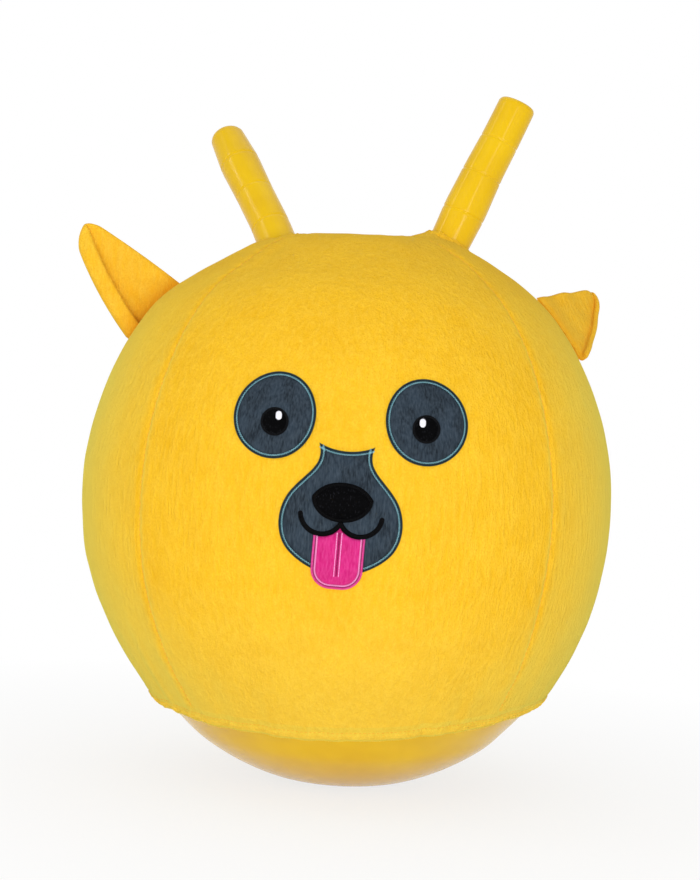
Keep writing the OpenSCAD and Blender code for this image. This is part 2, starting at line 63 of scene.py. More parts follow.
class Side(Enum):
    """Sides of the ball as the viewer sees its face."""

    LEFT = -1
    RIGHT = 1

    @property
    def word(self) -> str:
        """Lower-case name, as the nodes use it."""
        return self.name.lower()


class Lay(Enum):
    """Ways a thread lies on its line, as its angle from the line in degrees."""

    ALONG = 0.0
    ACROSS = 90.0


def clamp01(x: float) -> float:
    """Keep a number between 0 and 1."""
    return min(1.0, max(0.0, x))


def smooth(x: float) -> float:
    """Ease from 0 to 1 as x goes from 0 to 1."""
    x = clamp01(x)
    return x * x * (3.0 - 2.0 * x)


def bell(x: float, width: float) -> float:
    """Soft bump of height 1 at 0 that has faded out at about twice its width."""
    return math.exp(-(x / width) ** 2)


def bearings(count: int) -> list[float]:
    """Even angles once round, in radians."""
    return [math.tau * k / count for k in range(count)]


def on_circle(around: float, height: float = 0.0) -> Vector:
    """Point of the unit circle on a bearing, lifted to a height."""
    return Vector((math.cos(around), math.sin(around), height))


def outward(around: float, angle: float) -> Vector:
    """Unit vector on a bearing that rises by an angle, both in radians."""
    return Vector((math.cos(angle) * math.cos(around), math.cos(angle) * math.sin(around), math.sin(angle)))


def open_edges(faces: Sequence[Sequence[int]]) -> list[tuple[int, int]]:
    """Edges that only one face uses, in that face's direction."""
    edges = {(face[k], face[(k + 1) % len(face)]) for face in faces for k in range(len(face))}
    return [(a, b) for a, b in sorted(edges) if (b, a) not in edges]


def linear(hex_colour: str) -> tuple[float, float, float, float]:
    """Turn an sRGB colour into linear light.

    Args:
        hex_colour: Six hex digits after a #.

    Returns:
        Linear red, green and blue, and an alpha of 1.
    """
    parts = [int(hex_colour[i:i + 2], 16) / 255 for i in (1, 3, 5)]
    curve = [c / 12.92 if c <= 0.04045 else ((c + 0.055) / 1.055) ** 2.4 for c in parts]
    return (curve[0], curve[1], curve[2], 1.0)


def connect(tree: bpy.types.NodeTree, node: bpy.types.Node, inputs: dict[Any, Any]) -> None:
    """Give a node's inputs their values, or a link where the value is an output socket."""
    for key, value in inputs.items():
        if isinstance(value, bpy.types.NodeSocket):
            tree.links.new(value, node.inputs[key])
        else:
            node.inputs[key].default_value = value


def add_node(tree: bpy.types.NodeTree, kind: str, settings: dict[str, Any] | None = None,
             inputs: dict[Any, Any] | None = None) -> bpy.types.Node:
    """Add one node with its settings and links.

    Args:
        tree: Tree that the node goes into.
        kind: Blender's name for the node.
        settings: Properties of the node itself.
        inputs: Values or output sockets for its inputs, by name or number.

    Returns:
        The new node.
    """
    node = tree.nodes.new(kind)
    for name, value in (settings or {}).items():
        setattr(node, name, value)
    connect(tree, node, inputs or {})
    return node


def start_material(name: str) -> tuple[bpy.types.Material, bpy.types.NodeTree, bpy.types.Node]:
    """Make a material that holds only its shader and output.

    Args:
        name: Name of the real material.

    Returns:
        The material, its tree and its shader node.
    """
    material = bpy.data.materials.new(name)
    material.use_nodes = True
    tree = material.node_tree
    tree.nodes.clear()
    shader = add_node(tree, "ShaderNodeBsdfPrincipled")
    add_node(tree, "ShaderNodeOutputMaterial", inputs={"Surface": shader.outputs[0]})
    return material, tree, shader


def grain(tree: bpy.types.NodeTree, size: tuple[float, float, float], detail: float = 2.0,
          roughness: float = 0.5) -> bpy.types.NodeSocket:
    """Noise whose grains have a real size along X, Y and Z.

    Args:
        tree: Material tree.
        size: Grain size in millimetres along each axis.
        detail: Octaves of finer noise.
        roughness: Strength of the finer noise.

    Returns:
        The noise's value socket.
    """
    place = add_node(tree, "ShaderNodeTexCoord")
    scale = tuple(1.0 / (mm * MM) for mm in size)
    sized = add_node(tree, "ShaderNodeMapping", inputs={"Vector": place.outputs["Object"], "Scale": scale})
    made = add_node(tree, "ShaderNodeTexNoise", inputs={
        "Vector": sized.outputs[0], "Scale": 1.0, "Detail": detail, "Roughness": roughness})
    return made.outputs[0]


def share(tree: bpy.types.NodeTree, value: bpy.types.NodeSocket, low: float, high: float,
          to_low: float = 0.0, to_high: float = 1.0) -> bpy.types.NodeSocket:
    """Stretch a value's range low to high onto another range, and clamp it there."""
    node = add_node(tree, "ShaderNodeMapRange", {"clamp": True}, {
        0: value, 1: low, 2: high, 3: to_low, 4: to_high})
    return node.outputs[0]


def blend_colours(tree: bpy.types.NodeTree, amount: Any, first: Any, second: Any) -> bpy.types.NodeSocket:
    """Mix two colours by a value socket."""
    node = add_node(tree, "ShaderNodeMix", {"data_type": "RGBA"}, {0: amount, 6: first, 7: second})
    return node.outputs[2]


def raise_surface(tree: bpy.types.NodeTree, shader: bpy.types.Node, height: bpy.types.NodeSocket,
                  depth: float, strength: float) -> None:
    """Give a shader a bump of a real depth in millimetres."""
    bump = add_node(tree, "ShaderNodeBump", inputs={
        "Strength": strength, "Distance": depth * MM, "Height": height})
    tree.links.new(bump.outputs[0], shader.inputs["Normal"])


@dataclass(frozen=True)
class Plush:
    """Short-pile polyester plush, knitted and sheared.

    The pile of about 2 mm gives the eye a matte velvet with a painted sheen that shifts softly
    where the nap lies another way, painted shade between its tufts, and a paler painted sheen where it is
    seen edge on.
    """

    name: str
    colour: str
    deep: str
    # bloom is the nap's painted sheen and the shader's sheen tint, root the painted shade between tufts, rim
    # the painted edge-on sheen, shade the painted shade of folds
    bloom: str
    root: str
    rim: str = "#ECE268"
    shade: str = ""
    under: str = ""

    def build(self) -> bpy.types.Material:
        """Make the material.

        Returns:
            The plush as a Blender material.
        """
        material, tree, shader = start_material(self.name)
        clouds = share(tree, grain(tree, (34, 34, 40), 4.0, 0.6), 0.34, 0.66)
        nap = share(tree, grain(tree, (3.6, 3.6, 15), 3.0, 0.6), 0.34, 0.66)
        pile = grain(tree, (1.1, 1.1, 1.7), 3.0, 0.62)
        tufts = share(tree, pile, 0.36, 0.64)
        base = blend_colours(tree, clouds, linear(self.colour), linear(self.deep))
        # Painted sheen: the nap streaks shift towards the paler bloom colour. Painted shade: the gaps between
        # tufts darken towards the root colour
        for spread, weight, colour in ((nap, 0.45, self.bloom), (tufts, 0.40, self.root)):
            part = add_node(tree, "ShaderNodeMath", {"operation": "MULTIPLY"}, {0: spread, 1: weight})
            base = blend_colours(tree, part.outputs[0], base, linear(colour))
        for mark, colour in (("fold_shade", self.shade), ("underside", self.under)):
            if colour:
                marked = add_node(tree, "ShaderNodeAttribute", {"attribute_name": mark})
                base = blend_colours(tree, marked.outputs["Fac"], base, linear(colour))
        # Painted sheen: seen edge on, the pile is tinted towards the paler rim colour
        edge = add_node(tree, "ShaderNodeLayerWeight", inputs={"Blend": 0.5})
        edge_on_sheen = share(tree, edge.outputs["Facing"], 0.34, 1.0, 0.0, 0.85)
        place = add_node(tree, "ShaderNodeTexCoord")
        apart = add_node(tree, "ShaderNodeSeparateXYZ", inputs={0: place.outputs["Object"]})
        # The painted edge-on sheen is kept whole low down and fades to a quarter of it on the crown
        sheen_kept = share(tree, apart.outputs["Z"], 0.34, 0.44, 1.0, 0.25)
        # Painted sheen: the lowest part of the cover is tinted towards the pale rim colour as well
        low_sheen = share(tree, apart.outputs["Z"], 0.06, 0.19, 0.28, 0.0)
        base = blend_colours(tree, low_sheen, base, linear(self.rim))
        seen = add_node(tree, "ShaderNodeMath", {"operation": "MULTIPLY"}, {0: edge_on_sheen, 1: sheen_kept})
        base = blend_colours(tree, seen.outputs[0], base, linear(self.rim))
        connect(tree, shader, {
            "Base Color": base, "Roughness": 0.92, "Specular IOR Level": 0.04, "Sheen Weight": 0.06,
            "Sheen Roughness": 0.45, "Sheen Tint": linear(self.bloom)})
        height = add_node(tree, "ShaderNodeMath", {"operation": "MULTIPLY_ADD"}, {0: nap, 1: 0.7, 2: pile})
        raise_surface(tree, shader, height.outputs[0], 1.3, 0.75)
        return material


@dataclass(frozen=True)
class MouldedVinyl:
    """Soft PVC, rotationally moulded, as on the ball and its horns.

    The mould gives the eye a glossy skin with a faint orange peel, slightly
    cloudy colour, and dull rubbed places where hands and floors have been.
    """

    name: str
    colour: str
    cloudy: str
    roughness: float
    specular: float = 0.20

    def build(self) -> bpy.types.Material:
        """Make the material.

        Returns:
            The vinyl as a Blender material.
        """
        material, tree, shader = start_material(self.name)
        clouds = share(tree, grain(tree, (38, 38, 38), 3.0), 0.35, 0.65)
        rubbed = grain(tree, (9, 9, 9), 4.0, 0.6)
        connect(tree, shader, {
            "Base Color": blend_colours(tree, clouds, linear(self.colour), linear(self.cloudy)),
            "Roughness": share(tree, rubbed, 0.35, 0.7, self.roughness - 0.03, self.roughness + 0.09),
            "Specular IOR Level": self.specular})
        peel = grain(tree, (2.6, 2.6, 2.6), 1.0)
        raise_surface(tree, shader, peel, 0.05, 0.25)
        return material


@dataclass(frozen=True)
class Felt:
    """Napped felt of the applique patches.

    The brushed fibres give the eye a mottled cloth with fine upright streaks:
    painted shade in the hollows of the nap and painted highlights where the fibres catch light.
    """

    name: str
    colour: str
    dark: str
    pale: str

    def build(self) -> bpy.types.Material:
        """Make the material.

        Returns:
            The felt as a Blender material.
        """
        material, tree, shader = start_material(self.name)
        clouds = share(tree, grain(tree, (13, 13, 17), 3.0), 0.36, 0.64)
        nap = share(tree, grain(tree, (1.3, 1.3, 6.5), 3.0, 0.6), 0.34, 0.68)
        fibres = grain(tree, (0.7, 0.7, 1.8), 2.0)
        base = blend_colours(tree, clouds, linear(self.colour), linear(self.dark))
        # Painted highlight: the nap's streaks are tinted towards the pale colour
        brushed = add_node(tree, "ShaderNodeMath", {"operation": "MULTIPLY"}, {0: nap, 1: 0.55})
        connect(tree, shader, {
            "Base Color": blend_colours(tree, brushed.outputs[0], base, linear(self.pale)), "Roughness": 0.9,
            "Specular IOR Level": 0.03, "Sheen Weight": 0.07, "Sheen Roughness": 0.4,
            "Sheen Tint": linear(self.pale)})
        height = add_node(tree, "ShaderNodeMath", {"operation": "ADD"}, {0: nap, 1: fibres})
        raise_surface(tree, shader, height.outputs[0], 0.45, 0.5)
        return material


@dataclass(frozen=True)
class Thread:
    """Rayon embroidery thread.

    The twisted filaments give the eye a satin gloss that runs along each stitch,
    with small changes of tone from stitch to stitch.
    """

    name: str
    colour: str
    other: str
    roughness: float = 0.38
    gloss: float = 0.3

    def build(self) -> bpy.types.Material:
        """Make the material.

        Returns:
            The thread as a Blender material.
        """
        material, tree, shader = start_material(self.name)
        # One stitch is about 1 mm wide, so the tone changes at that size
        tone = share(tree, grain(tree, (1.1, 1.1, 1.1), 1.0), 0.35, 0.65)
        connect(tree, shader, {
            "Base Color": blend_colours(tree, tone, linear(self.colour), linear(self.other)),
            "Roughness": self.roughness, "Specular IOR Level": self.gloss, "Anisotropic": 0.4})
        # Filaments are 0.02 mm thick, drawn at 0.3 mm so that they show
        twist = grain(tree, (0.3, 0.3, 0.3), 2.0)
        raise_surface(tree, shader, twist, 0.12, 0.4)
        return material


@dataclass(frozen=True)
class Embroidery:
    """Close satin stitching that fills a shape with upright rows of thread.

    The rows give the eye a fine ribbed black with a soft glint on each rib and
    small grey specks where single stitches stand out.
    """

    name: str
    colour: str
    speck: str
    row: float = 0.75

    def build(self) -> bpy.types.Material:
        """Make the material.

        Returns:
            The stitching as a Blender material.
        """
        material, tree, shader = start_material(self.name)
        place = add_node(tree, "ShaderNodeTexCoord")
        wander = grain(tree, (5, 5, 5), 2.0)
        shifted = add_node(tree, "ShaderNodeVectorMath", {"operation": "MULTIPLY_ADD"}, {
            0: wander, 1: (0.5 * MM, 0.5 * MM, 0.0), 2: place.outputs["Object"]})
        rows = add_node(tree, "ShaderNodeTexWave", {"wave_type": "BANDS", "bands_direction": "X"}, {
            "Vector": shifted.outputs[0], "Scale": 0.314 / (self.row * MM), "Distortion": 0.0})
        specks = share(tree, grain(tree, (0.8, 0.8, 2.2), 2.0), 0.60, 0.72)
        connect(tree, shader, {
            "Base Color": blend_colours(tree, specks, linear(self.colour), linear(self.speck)),
            "Roughness": 0.46, "Specular IOR Level": 0.015, "Anisotropic": 0.3})
        raise_surface(tree, shader, rows.outputs[1], 0.25, 0.55)
        return material


@dataclass(frozen=True)
class RibbedElastic:
    """Woven elastic, whose rubber cords give the eye fine lengthwise ribs."""

    name: str
    colour: str
    gap: str

    def build(self) -> bpy.types.Material:
        """Make the material.

        Returns:
            The elastic as a Blender material.
        """
        material, tree, shader = start_material(self.name)
        ribs = share(tree, grain(tree, (7, 7, 1.0), 1.0), 0.4, 0.6)
        # Painted shade: the grooves between the ribs are darkened towards the gap colour
        connect(tree, shader, {
            "Base Color": blend_colours(tree, ribs, linear(self.colour), linear(self.gap)),
            "Roughness": 0.75})
        raise_surface(tree, shader, ribs, 0.3, 0.5)
        return material


@dataclass(frozen=True)
class Finishes:
    """All finishes of the object, one for each real material."""

    plush: Plush = Plush("sheared_polyester_plush", "#F9C62B", "#F2BC23", "#FFD246", "#E4A216")
    ear_plush: Plush = Plush("ear_polyester_plush", "#FFC932", "#F9BE2B", "#FFD652", "#EAA41B", "#DEC652",
                             shade="#F09C1C")
    hem_plush: Plush = Plush("hem_polyester_plush", "#F5C934", "#ECBD2C", "#FADC58", "#E0A71F",
                             under="#DCCB4A")
    vinyl: MouldedVinyl = MouldedVinyl("moulded_soft_pvc", "#E8BE00", "#E1B500", 0.17)
    valve_vinyl: MouldedVinyl = MouldedVinyl("moulded_valve_pvc", "#D9AE14", "#CFA511", 0.42)
    plug: MouldedVinyl = MouldedVinyl("moulded_white_polyethylene", "#F0F0EA", "#E6E6DE", 0.4)
    slate: Felt = Felt("slate_napped_felt", "#2D3843", "#1D242B", "#4A5662")
    pink: Felt = Felt("pink_napped_felt", "#CC2479", "#B91A66", "#DE4C97")
    teal: Thread = Thread("teal_rayon_thread", "#92C4D0", "#6FA6B5", 0.45, 0.2)
    dark_teal: Thread = Thread("dark_teal_rayon_thread", "#14242C", "#22383F", 0.45, 0.12)
    black: Thread = Thread("black_rayon_thread", "#060607", "#0B0B0D", 0.5, 0.03)
    grey: Thread = Thread("charcoal_rayon_thread", "#131417", "#0C0D0F", 0.48, 0.04)
    white: Thread = Thread("white_rayon_thread", "#ECECF4", "#DFDFE9", 0.45)
    pink_thread: Thread = Thread("pink_rayon_thread", "#DC3289", "#E858AA", 0.42, 0.15)
    pale_pink: Thread = Thread("pale_pink_rayon_thread", "#FFB2E6", "#F795D6")
    wine: Thread = Thread("wine_rayon_thread", "#7E0F45", "#931755", 0.42, 0.12)
    seam: Thread = Thread("orange_polyester_thread", "#F3B52C", "#EEA92E", 0.6)
    tone: Thread = Thread("yellow_polyester_thread", "#F0B22A", "#E8A61F", 0.6)
    pill: Thread = Thread("pilled_polyester_fibre", "#F4D64E", "#F2C236", 0.8)
    embroidery: Embroidery = Embroidery("black_satin_stitching", "#050506", "#222327")
    elastic: RibbedElastic = RibbedElastic("woven_rubber_elastic", "#EFEDE2", "#CFCCBD")


class MaterialShelf:
    """Builds each finish once, the first time that a piece asks for it."""

    def __init__(self, finishes: Finishes) -> None:
        """Keep the finishes to build from."""
        self.finishes = finishes
        self.made: dict[str, bpy.types.Material] = {}

    def get(self, name: str) -> bpy.types.Material:
        """Material of a finish, by the finish's field name."""
        if name not in self.made:
            self.made[name] = getattr(self.finishes, name).build()
        return self.made[name]


def put(name: str, data: bpy.types.ID) -> bpy.types.Object:
    """Link a new object that holds some data into the scene."""
    made = bpy.data.objects.new(name, data)
    bpy.context.scene.collection.objects.link(made)
    return made


def object_of(name: str, mesh: bpy.types.Mesh, sharp_over: float = 40.0) -> bpy.types.Object:
    """Put a mesh into the scene as a smooth-shaded object.

    Args:
        name: Name of the piece.
        mesh: Its mesh, in metres.
        sharp_over: Angle in degrees past which an edge stays sharp.

    Returns:
        The new object.
    """
    mesh.polygons.foreach_set("use_smooth", [True] * len(mesh.polygons))
    mesh.set_sharp_from_angle(angle=math.radians(sharp_over))
    return put(name, mesh)


def mesh_of(name: str, points: Sequence[Vector], faces: Sequence[Sequence[int]],
            marks: dict[str, Sequence[float]] | None = None) -> bpy.types.Mesh:
    """Make a mesh from points in millimetres, without the points that no face uses.

    Args:
        name: Name of the mesh.
        points: Points in millimetres.
        faces: Faces as point numbers.
        marks: Values for each point, by attribute name.

    Returns:
        The mesh, in metres.
    """
    used = sorted({i for face in faces for i in face})
    number = {old: new for new, old in enumerate(used)}
    mesh = bpy.data.meshes.new(name)
    mesh.from_pydata([points[i] * MM for i in used], [], [[number[i] for i in face] for face in faces])
    for label, values in (marks or {}).items():
        attribute = mesh.attributes.new(label, "FLOAT", "POINT")
        attribute.data.foreach_set("value", [values[i] for i in used])
    mesh.update()
    return mesh


def shell_mesh(name: str, faces: Sequence[Sequence[int]], outer: Sequence[Vector],
               inner: Sequence[Vector], marks: dict[str, Sequence[float]] | None = None) -> bpy.types.Mesh:
    """Make a closed cloth layer between two sheets that share their faces.

    Args:
        name: Name of the mesh.
        faces: Faces of the outer sheet, counter-clockwise as seen from outside.
        outer: Points of the outer sheet in millimetres.
        inner: The same points on the inner sheet.
        marks: Values for each point of a sheet, by attribute name.

    Returns:
        The closed mesh, in metres.
    """
    count = len(outer)
    walls = [(b, a, a + count, b + count) for a, b in open_edges(faces)]
    backs = [tuple(i + count for i in reversed(face)) for face in faces]
    doubled = {label: list(values) * 2 for label, values in (marks or {}).items()}
    return mesh_of(name, list(outer) + list(inner), list(faces) + backs + walls, doubled)


def ring_mesh(name: str, loops: Sequence[Sequence[Vector]],
              marks: dict[str, Sequence[float]] | None = None) -> bpy.types.Mesh:
    """Make a closed ring from closed cross-sections, one after the other.

    Args:
        name: Name of the mesh.
        loops: Cross-sections in millimetres, counter-clockwise as seen from the
            section before.
        marks: Values for all points in order, by attribute name.

    Returns:
        The ring, in metres.
    """
    size, count = len(loops[0]), len(loops)
    points = [p for loop in loops for p in loop]
    faces = []
    for k in range(count):
        here, there = k * size, (k + 1) % count * size
        for j in range(size):
            after = (j + 1) % size
            faces.append((here + j, there + j, there + after, here + after))
    return mesh_of(name, points, faces, marks)


def capped_mesh(name: str, first: Vector, loops: Sequence[Sequence[Vector]], last: Vector) -> bpy.types.Mesh:
    """Make a closed skin from a pole through closed loops to another pole.

    Args:
        name: Name of the mesh.
        first: Pole before the first loop, in millimetres.
        loops: Loops in millimetres, counter-clockwise as seen from the first pole.
        last: Pole after the last loop.

    Returns:
        The skin, in metres.
    """
    size, count = len(loops[0]), len(loops)
    points = [first, *(p for loop in loops for p in loop), last]
    end, foot = len(points) - 1, 1 + (count - 1) * size
    faces = []
    for j in range(size):
        after = (j + 1) % size
        faces.append((0, 1 + j, 1 + after))
        faces.append((end, foot + after, foot + j))
        for k in range(count - 1):
            here, there = 1 + k * size, 1 + (k + 1) * size
            faces.append((here + j, there + j, there + after, here + after))
    return mesh_of(name, points, faces)


def joined(name: str, parts: Sequence[bpy.types.Object]) -> bpy.types.Object:
    """Join objects into one that keeps each part's material.

    Args:
        name: Name of the joined piece.
        parts: Objects with one material each. They are removed.

    Returns:
        The joined object.
    """
    build = bmesh.new()
    materials = []
    for part in parts:
        before = len(build.faces)
        build.from_mesh(part.data)
        build.faces.ensure_lookup_table()
        for face in build.faces[before:]:
            face.material_index = len(materials)
        materials.append(part.data.materials[0])
    mesh = bpy.data.meshes.new(name)
    build.to_mesh(mesh)
    build.free()
    for material in materials:
        mesh.materials.append(material)
    for part in parts:
        bpy.data.objects.remove(part)
    return object_of(name, mesh)


def dress(piece: bpy.types.Object, body: Body, nodes: Iterable[str] = (),
          material: bpy.types.Material | None = None) -> bpy.types.Object:
    """Give a finished piece its material and body, and hide the solids that it stands for.

    Args:
        piece: The piece.
        body: Body that it rides on.
        nodes: Solids that it stands for.
        material: Material, where the piece has none yet.

    Returns:
        The piece.
    """
    if material is not None:
        piece.data.materials.append(material)
    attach(piece, body.value)
    names = list(nodes)
    if names:
        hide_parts(*names)
    log.info("piece %s rides on %s", piece.name, body.value)
    return piece


@dataclass(frozen=True)
class Arc:
    """An arc of the ball's outline, run downwards from one angle to the next."""

    r: float
    h: float
    radius: float
    start: float
    end: float

    @property
    def length(self) -> float:
        """Length of the arc in millimetres."""
        return self.radius * math.radians(self.start - self.end)


@dataclass
class BallForm:
    """The ball's outline and the way that the cover leaves it, as the solids have them."""

    half_width: float = 225.0
    reach: float = 40.0
    patch_r: float = 32.0
    base_angle: float = 43.0
    shoulder_angle: float = 29.6
    rim_r: float = 93.0
    rim_angle: float = 63.5
    crown_angle: float = 84.0
    skirt_angle: float = 32.2
    skirt_tilt: float = 1.8
    skirt_end: float = 531.8
    hem_tilt: float = 8.8
    hem_dip: float = 12.9
    arcs: list[Arc] = field(init=False)
    mid_z: float = field(init=False)

    def __post_init__(self) -> None:
        """Work out the arcs and the height of the ball's middle."""
        belly_r = self.half_width + self.reach
        tan_base = math.tan(math.radians(self.base_angle))
        base_r = belly_r - self.reach / math.cos(math.radians(self.base_angle))
        self.mid_z = math.sqrt(base_r ** 2 - self.patch_r ** 2) + self.reach * tan_base
        angle = math.radians(self.shoulder_angle)
        shoulder_h = self.reach * math.tan(angle)
        shoulder_r = belly_r - self.reach / math.cos(angle)
        angle = math.radians(self.rim_angle)
        rim_x = (shoulder_r - self.rim_r) * math.cos(angle)
        rim_h = shoulder_h + (shoulder_r - self.rim_r) * math.sin(angle)
        angle = math.radians(self.crown_angle)
        crown_r = self.rim_r + rim_x / math.cos(angle)
        crown_h = rim_h - (crown_r - self.rim_r) * math.sin(angle)
        self.arcs = [
            Arc(0.0, crown_h, crown_r, 90.0, self.crown_angle),
            Arc(rim_x, rim_h, self.rim_r, self.crown_angle, self.rim_angle),
            Arc(0.0, shoulder_h, shoulder_r, self.rim_angle, self.shoulder_angle),
            Arc(-self.reach, 0.0, belly_r, self.shoulder_angle, -self.base_angle),
        ]

    @property
    def belly(self) -> Arc:
        """The belly's arc."""
        return self.arcs[3]

    @property
    def belly_start(self) -> float:
        """Run from the crown's middle to where the belly begins."""
        return sum(arc.length for arc in self.arcs[:3])

    def leave_angle(self, around: float) -> float:
        """Angle in degrees at which the cover leaves the ball, on a bearing."""
        return -self.skirt_angle + self.skirt_tilt * math.cos(around)

    def run_at(self, angle: float) -> float:
        """Run from the crown's middle to an angle on the belly, in degrees."""
        return self.belly_start + self.belly.radius * math.radians(self.shoulder_angle - angle)

    def hem_start(self, around: float) -> float:
        """Run from the crown's middle to the skirt's lower end, on a bearing."""
        return self.skirt_end - self.hem_tilt * math.cos(around) + self.hem_dip * abs(math.sin(around)) ** 3

    def section(self, run: float, leave: float, off: float) -> tuple[float, float, float]:
        """Place on the outline.

        Args:
            run: Run down the outline in millimetres.
            leave: Angle at which the outline runs straight on, in degrees.
            off: Distance outside the surface.

        Returns:
            Radius, height from the ball's middle, and the normal's angle in radians.
        """
        left = run
        for arc in self.arcs:
            end = max(arc.end, leave)
            length = arc.radius * math.radians(arc.start - end)
            if left <= length:
                angle = math.radians(arc.start) - left / arc.radius
                beyond = 0.0
                break
            left -= length
        else:
            angle, beyond = math.radians(leave), left
        far = arc.radius + off
        return (arc.r + far * math.cos(angle) + beyond * math.sin(angle),
                arc.h + far * math.sin(angle) - beyond * math.cos(angle), angle)

    def foot(self, r: float, h: float) -> tuple[float, float]:
        """Nearest place on the outline to a point of the section.

        Args:
            r: Radius of the point.
            h: Its height from the ball's middle.

        Returns:
            The run down the outline and the distance outside it.
        """
        run = 0.0
        for arc in self.arcs:
            angle = math.degrees(math.atan2(h - arc.h, r - arc.r))
            if angle >= arc.end or arc is self.belly:
                over = max(0.0, arc.start - angle)
                return (run + arc.radius * math.radians(over), math.hypot(r - arc.r, h - arc.h) - arc.radius)
            run += arc.length
        return run, 0.0


@dataclass(frozen=True)
class Settling:
    """How the soft ball and its cover have settled under their own weight.

    The dome between the horns has sunk a little, and the lower part has moved
    sideways over the place where the ball stands.
    """

    mid_z: float
    dome_from: float = 160.0
    dome_over: float = 55.0
    dome_drop: float = 6.4
    dome_lean: float = 0.02
    side_from: float = 55.0
    side_share: float = 0.045
    side_most: float = 6.5

    def sunk(self, x: float, h: float) -> float:
        """How far the dome has sunk at a place across and a height."""
        return smooth((h - self.dome_from) / self.dome_over) * (self.dome_drop - self.dome_lean * x)

    def moved(self, point: Vector) -> Vector:
        """Where a point of the unsettled object now is."""
        h = point.z - self.mid_z
        aside = min(self.side_most, self.side_share * max(0.0, -h - self.side_from))
        return Vector((point.x + aside, point.y, point.z - self.sunk(point.x, h)))

    def unmoved(self, point: Vector) -> Vector:
        """Where a point of the settled dome was."""
        z = point.z
        for _ in range(4):
            z = point.z + self.sunk(point.x, z - self.mid_z)
        return Vector((point.x, point.y, z))


@dataclass(frozen=True)
class Station:
    """A place along a horn, its radius there, and how far it has moved aside."""

    at: float
    radius: float
    aside: float


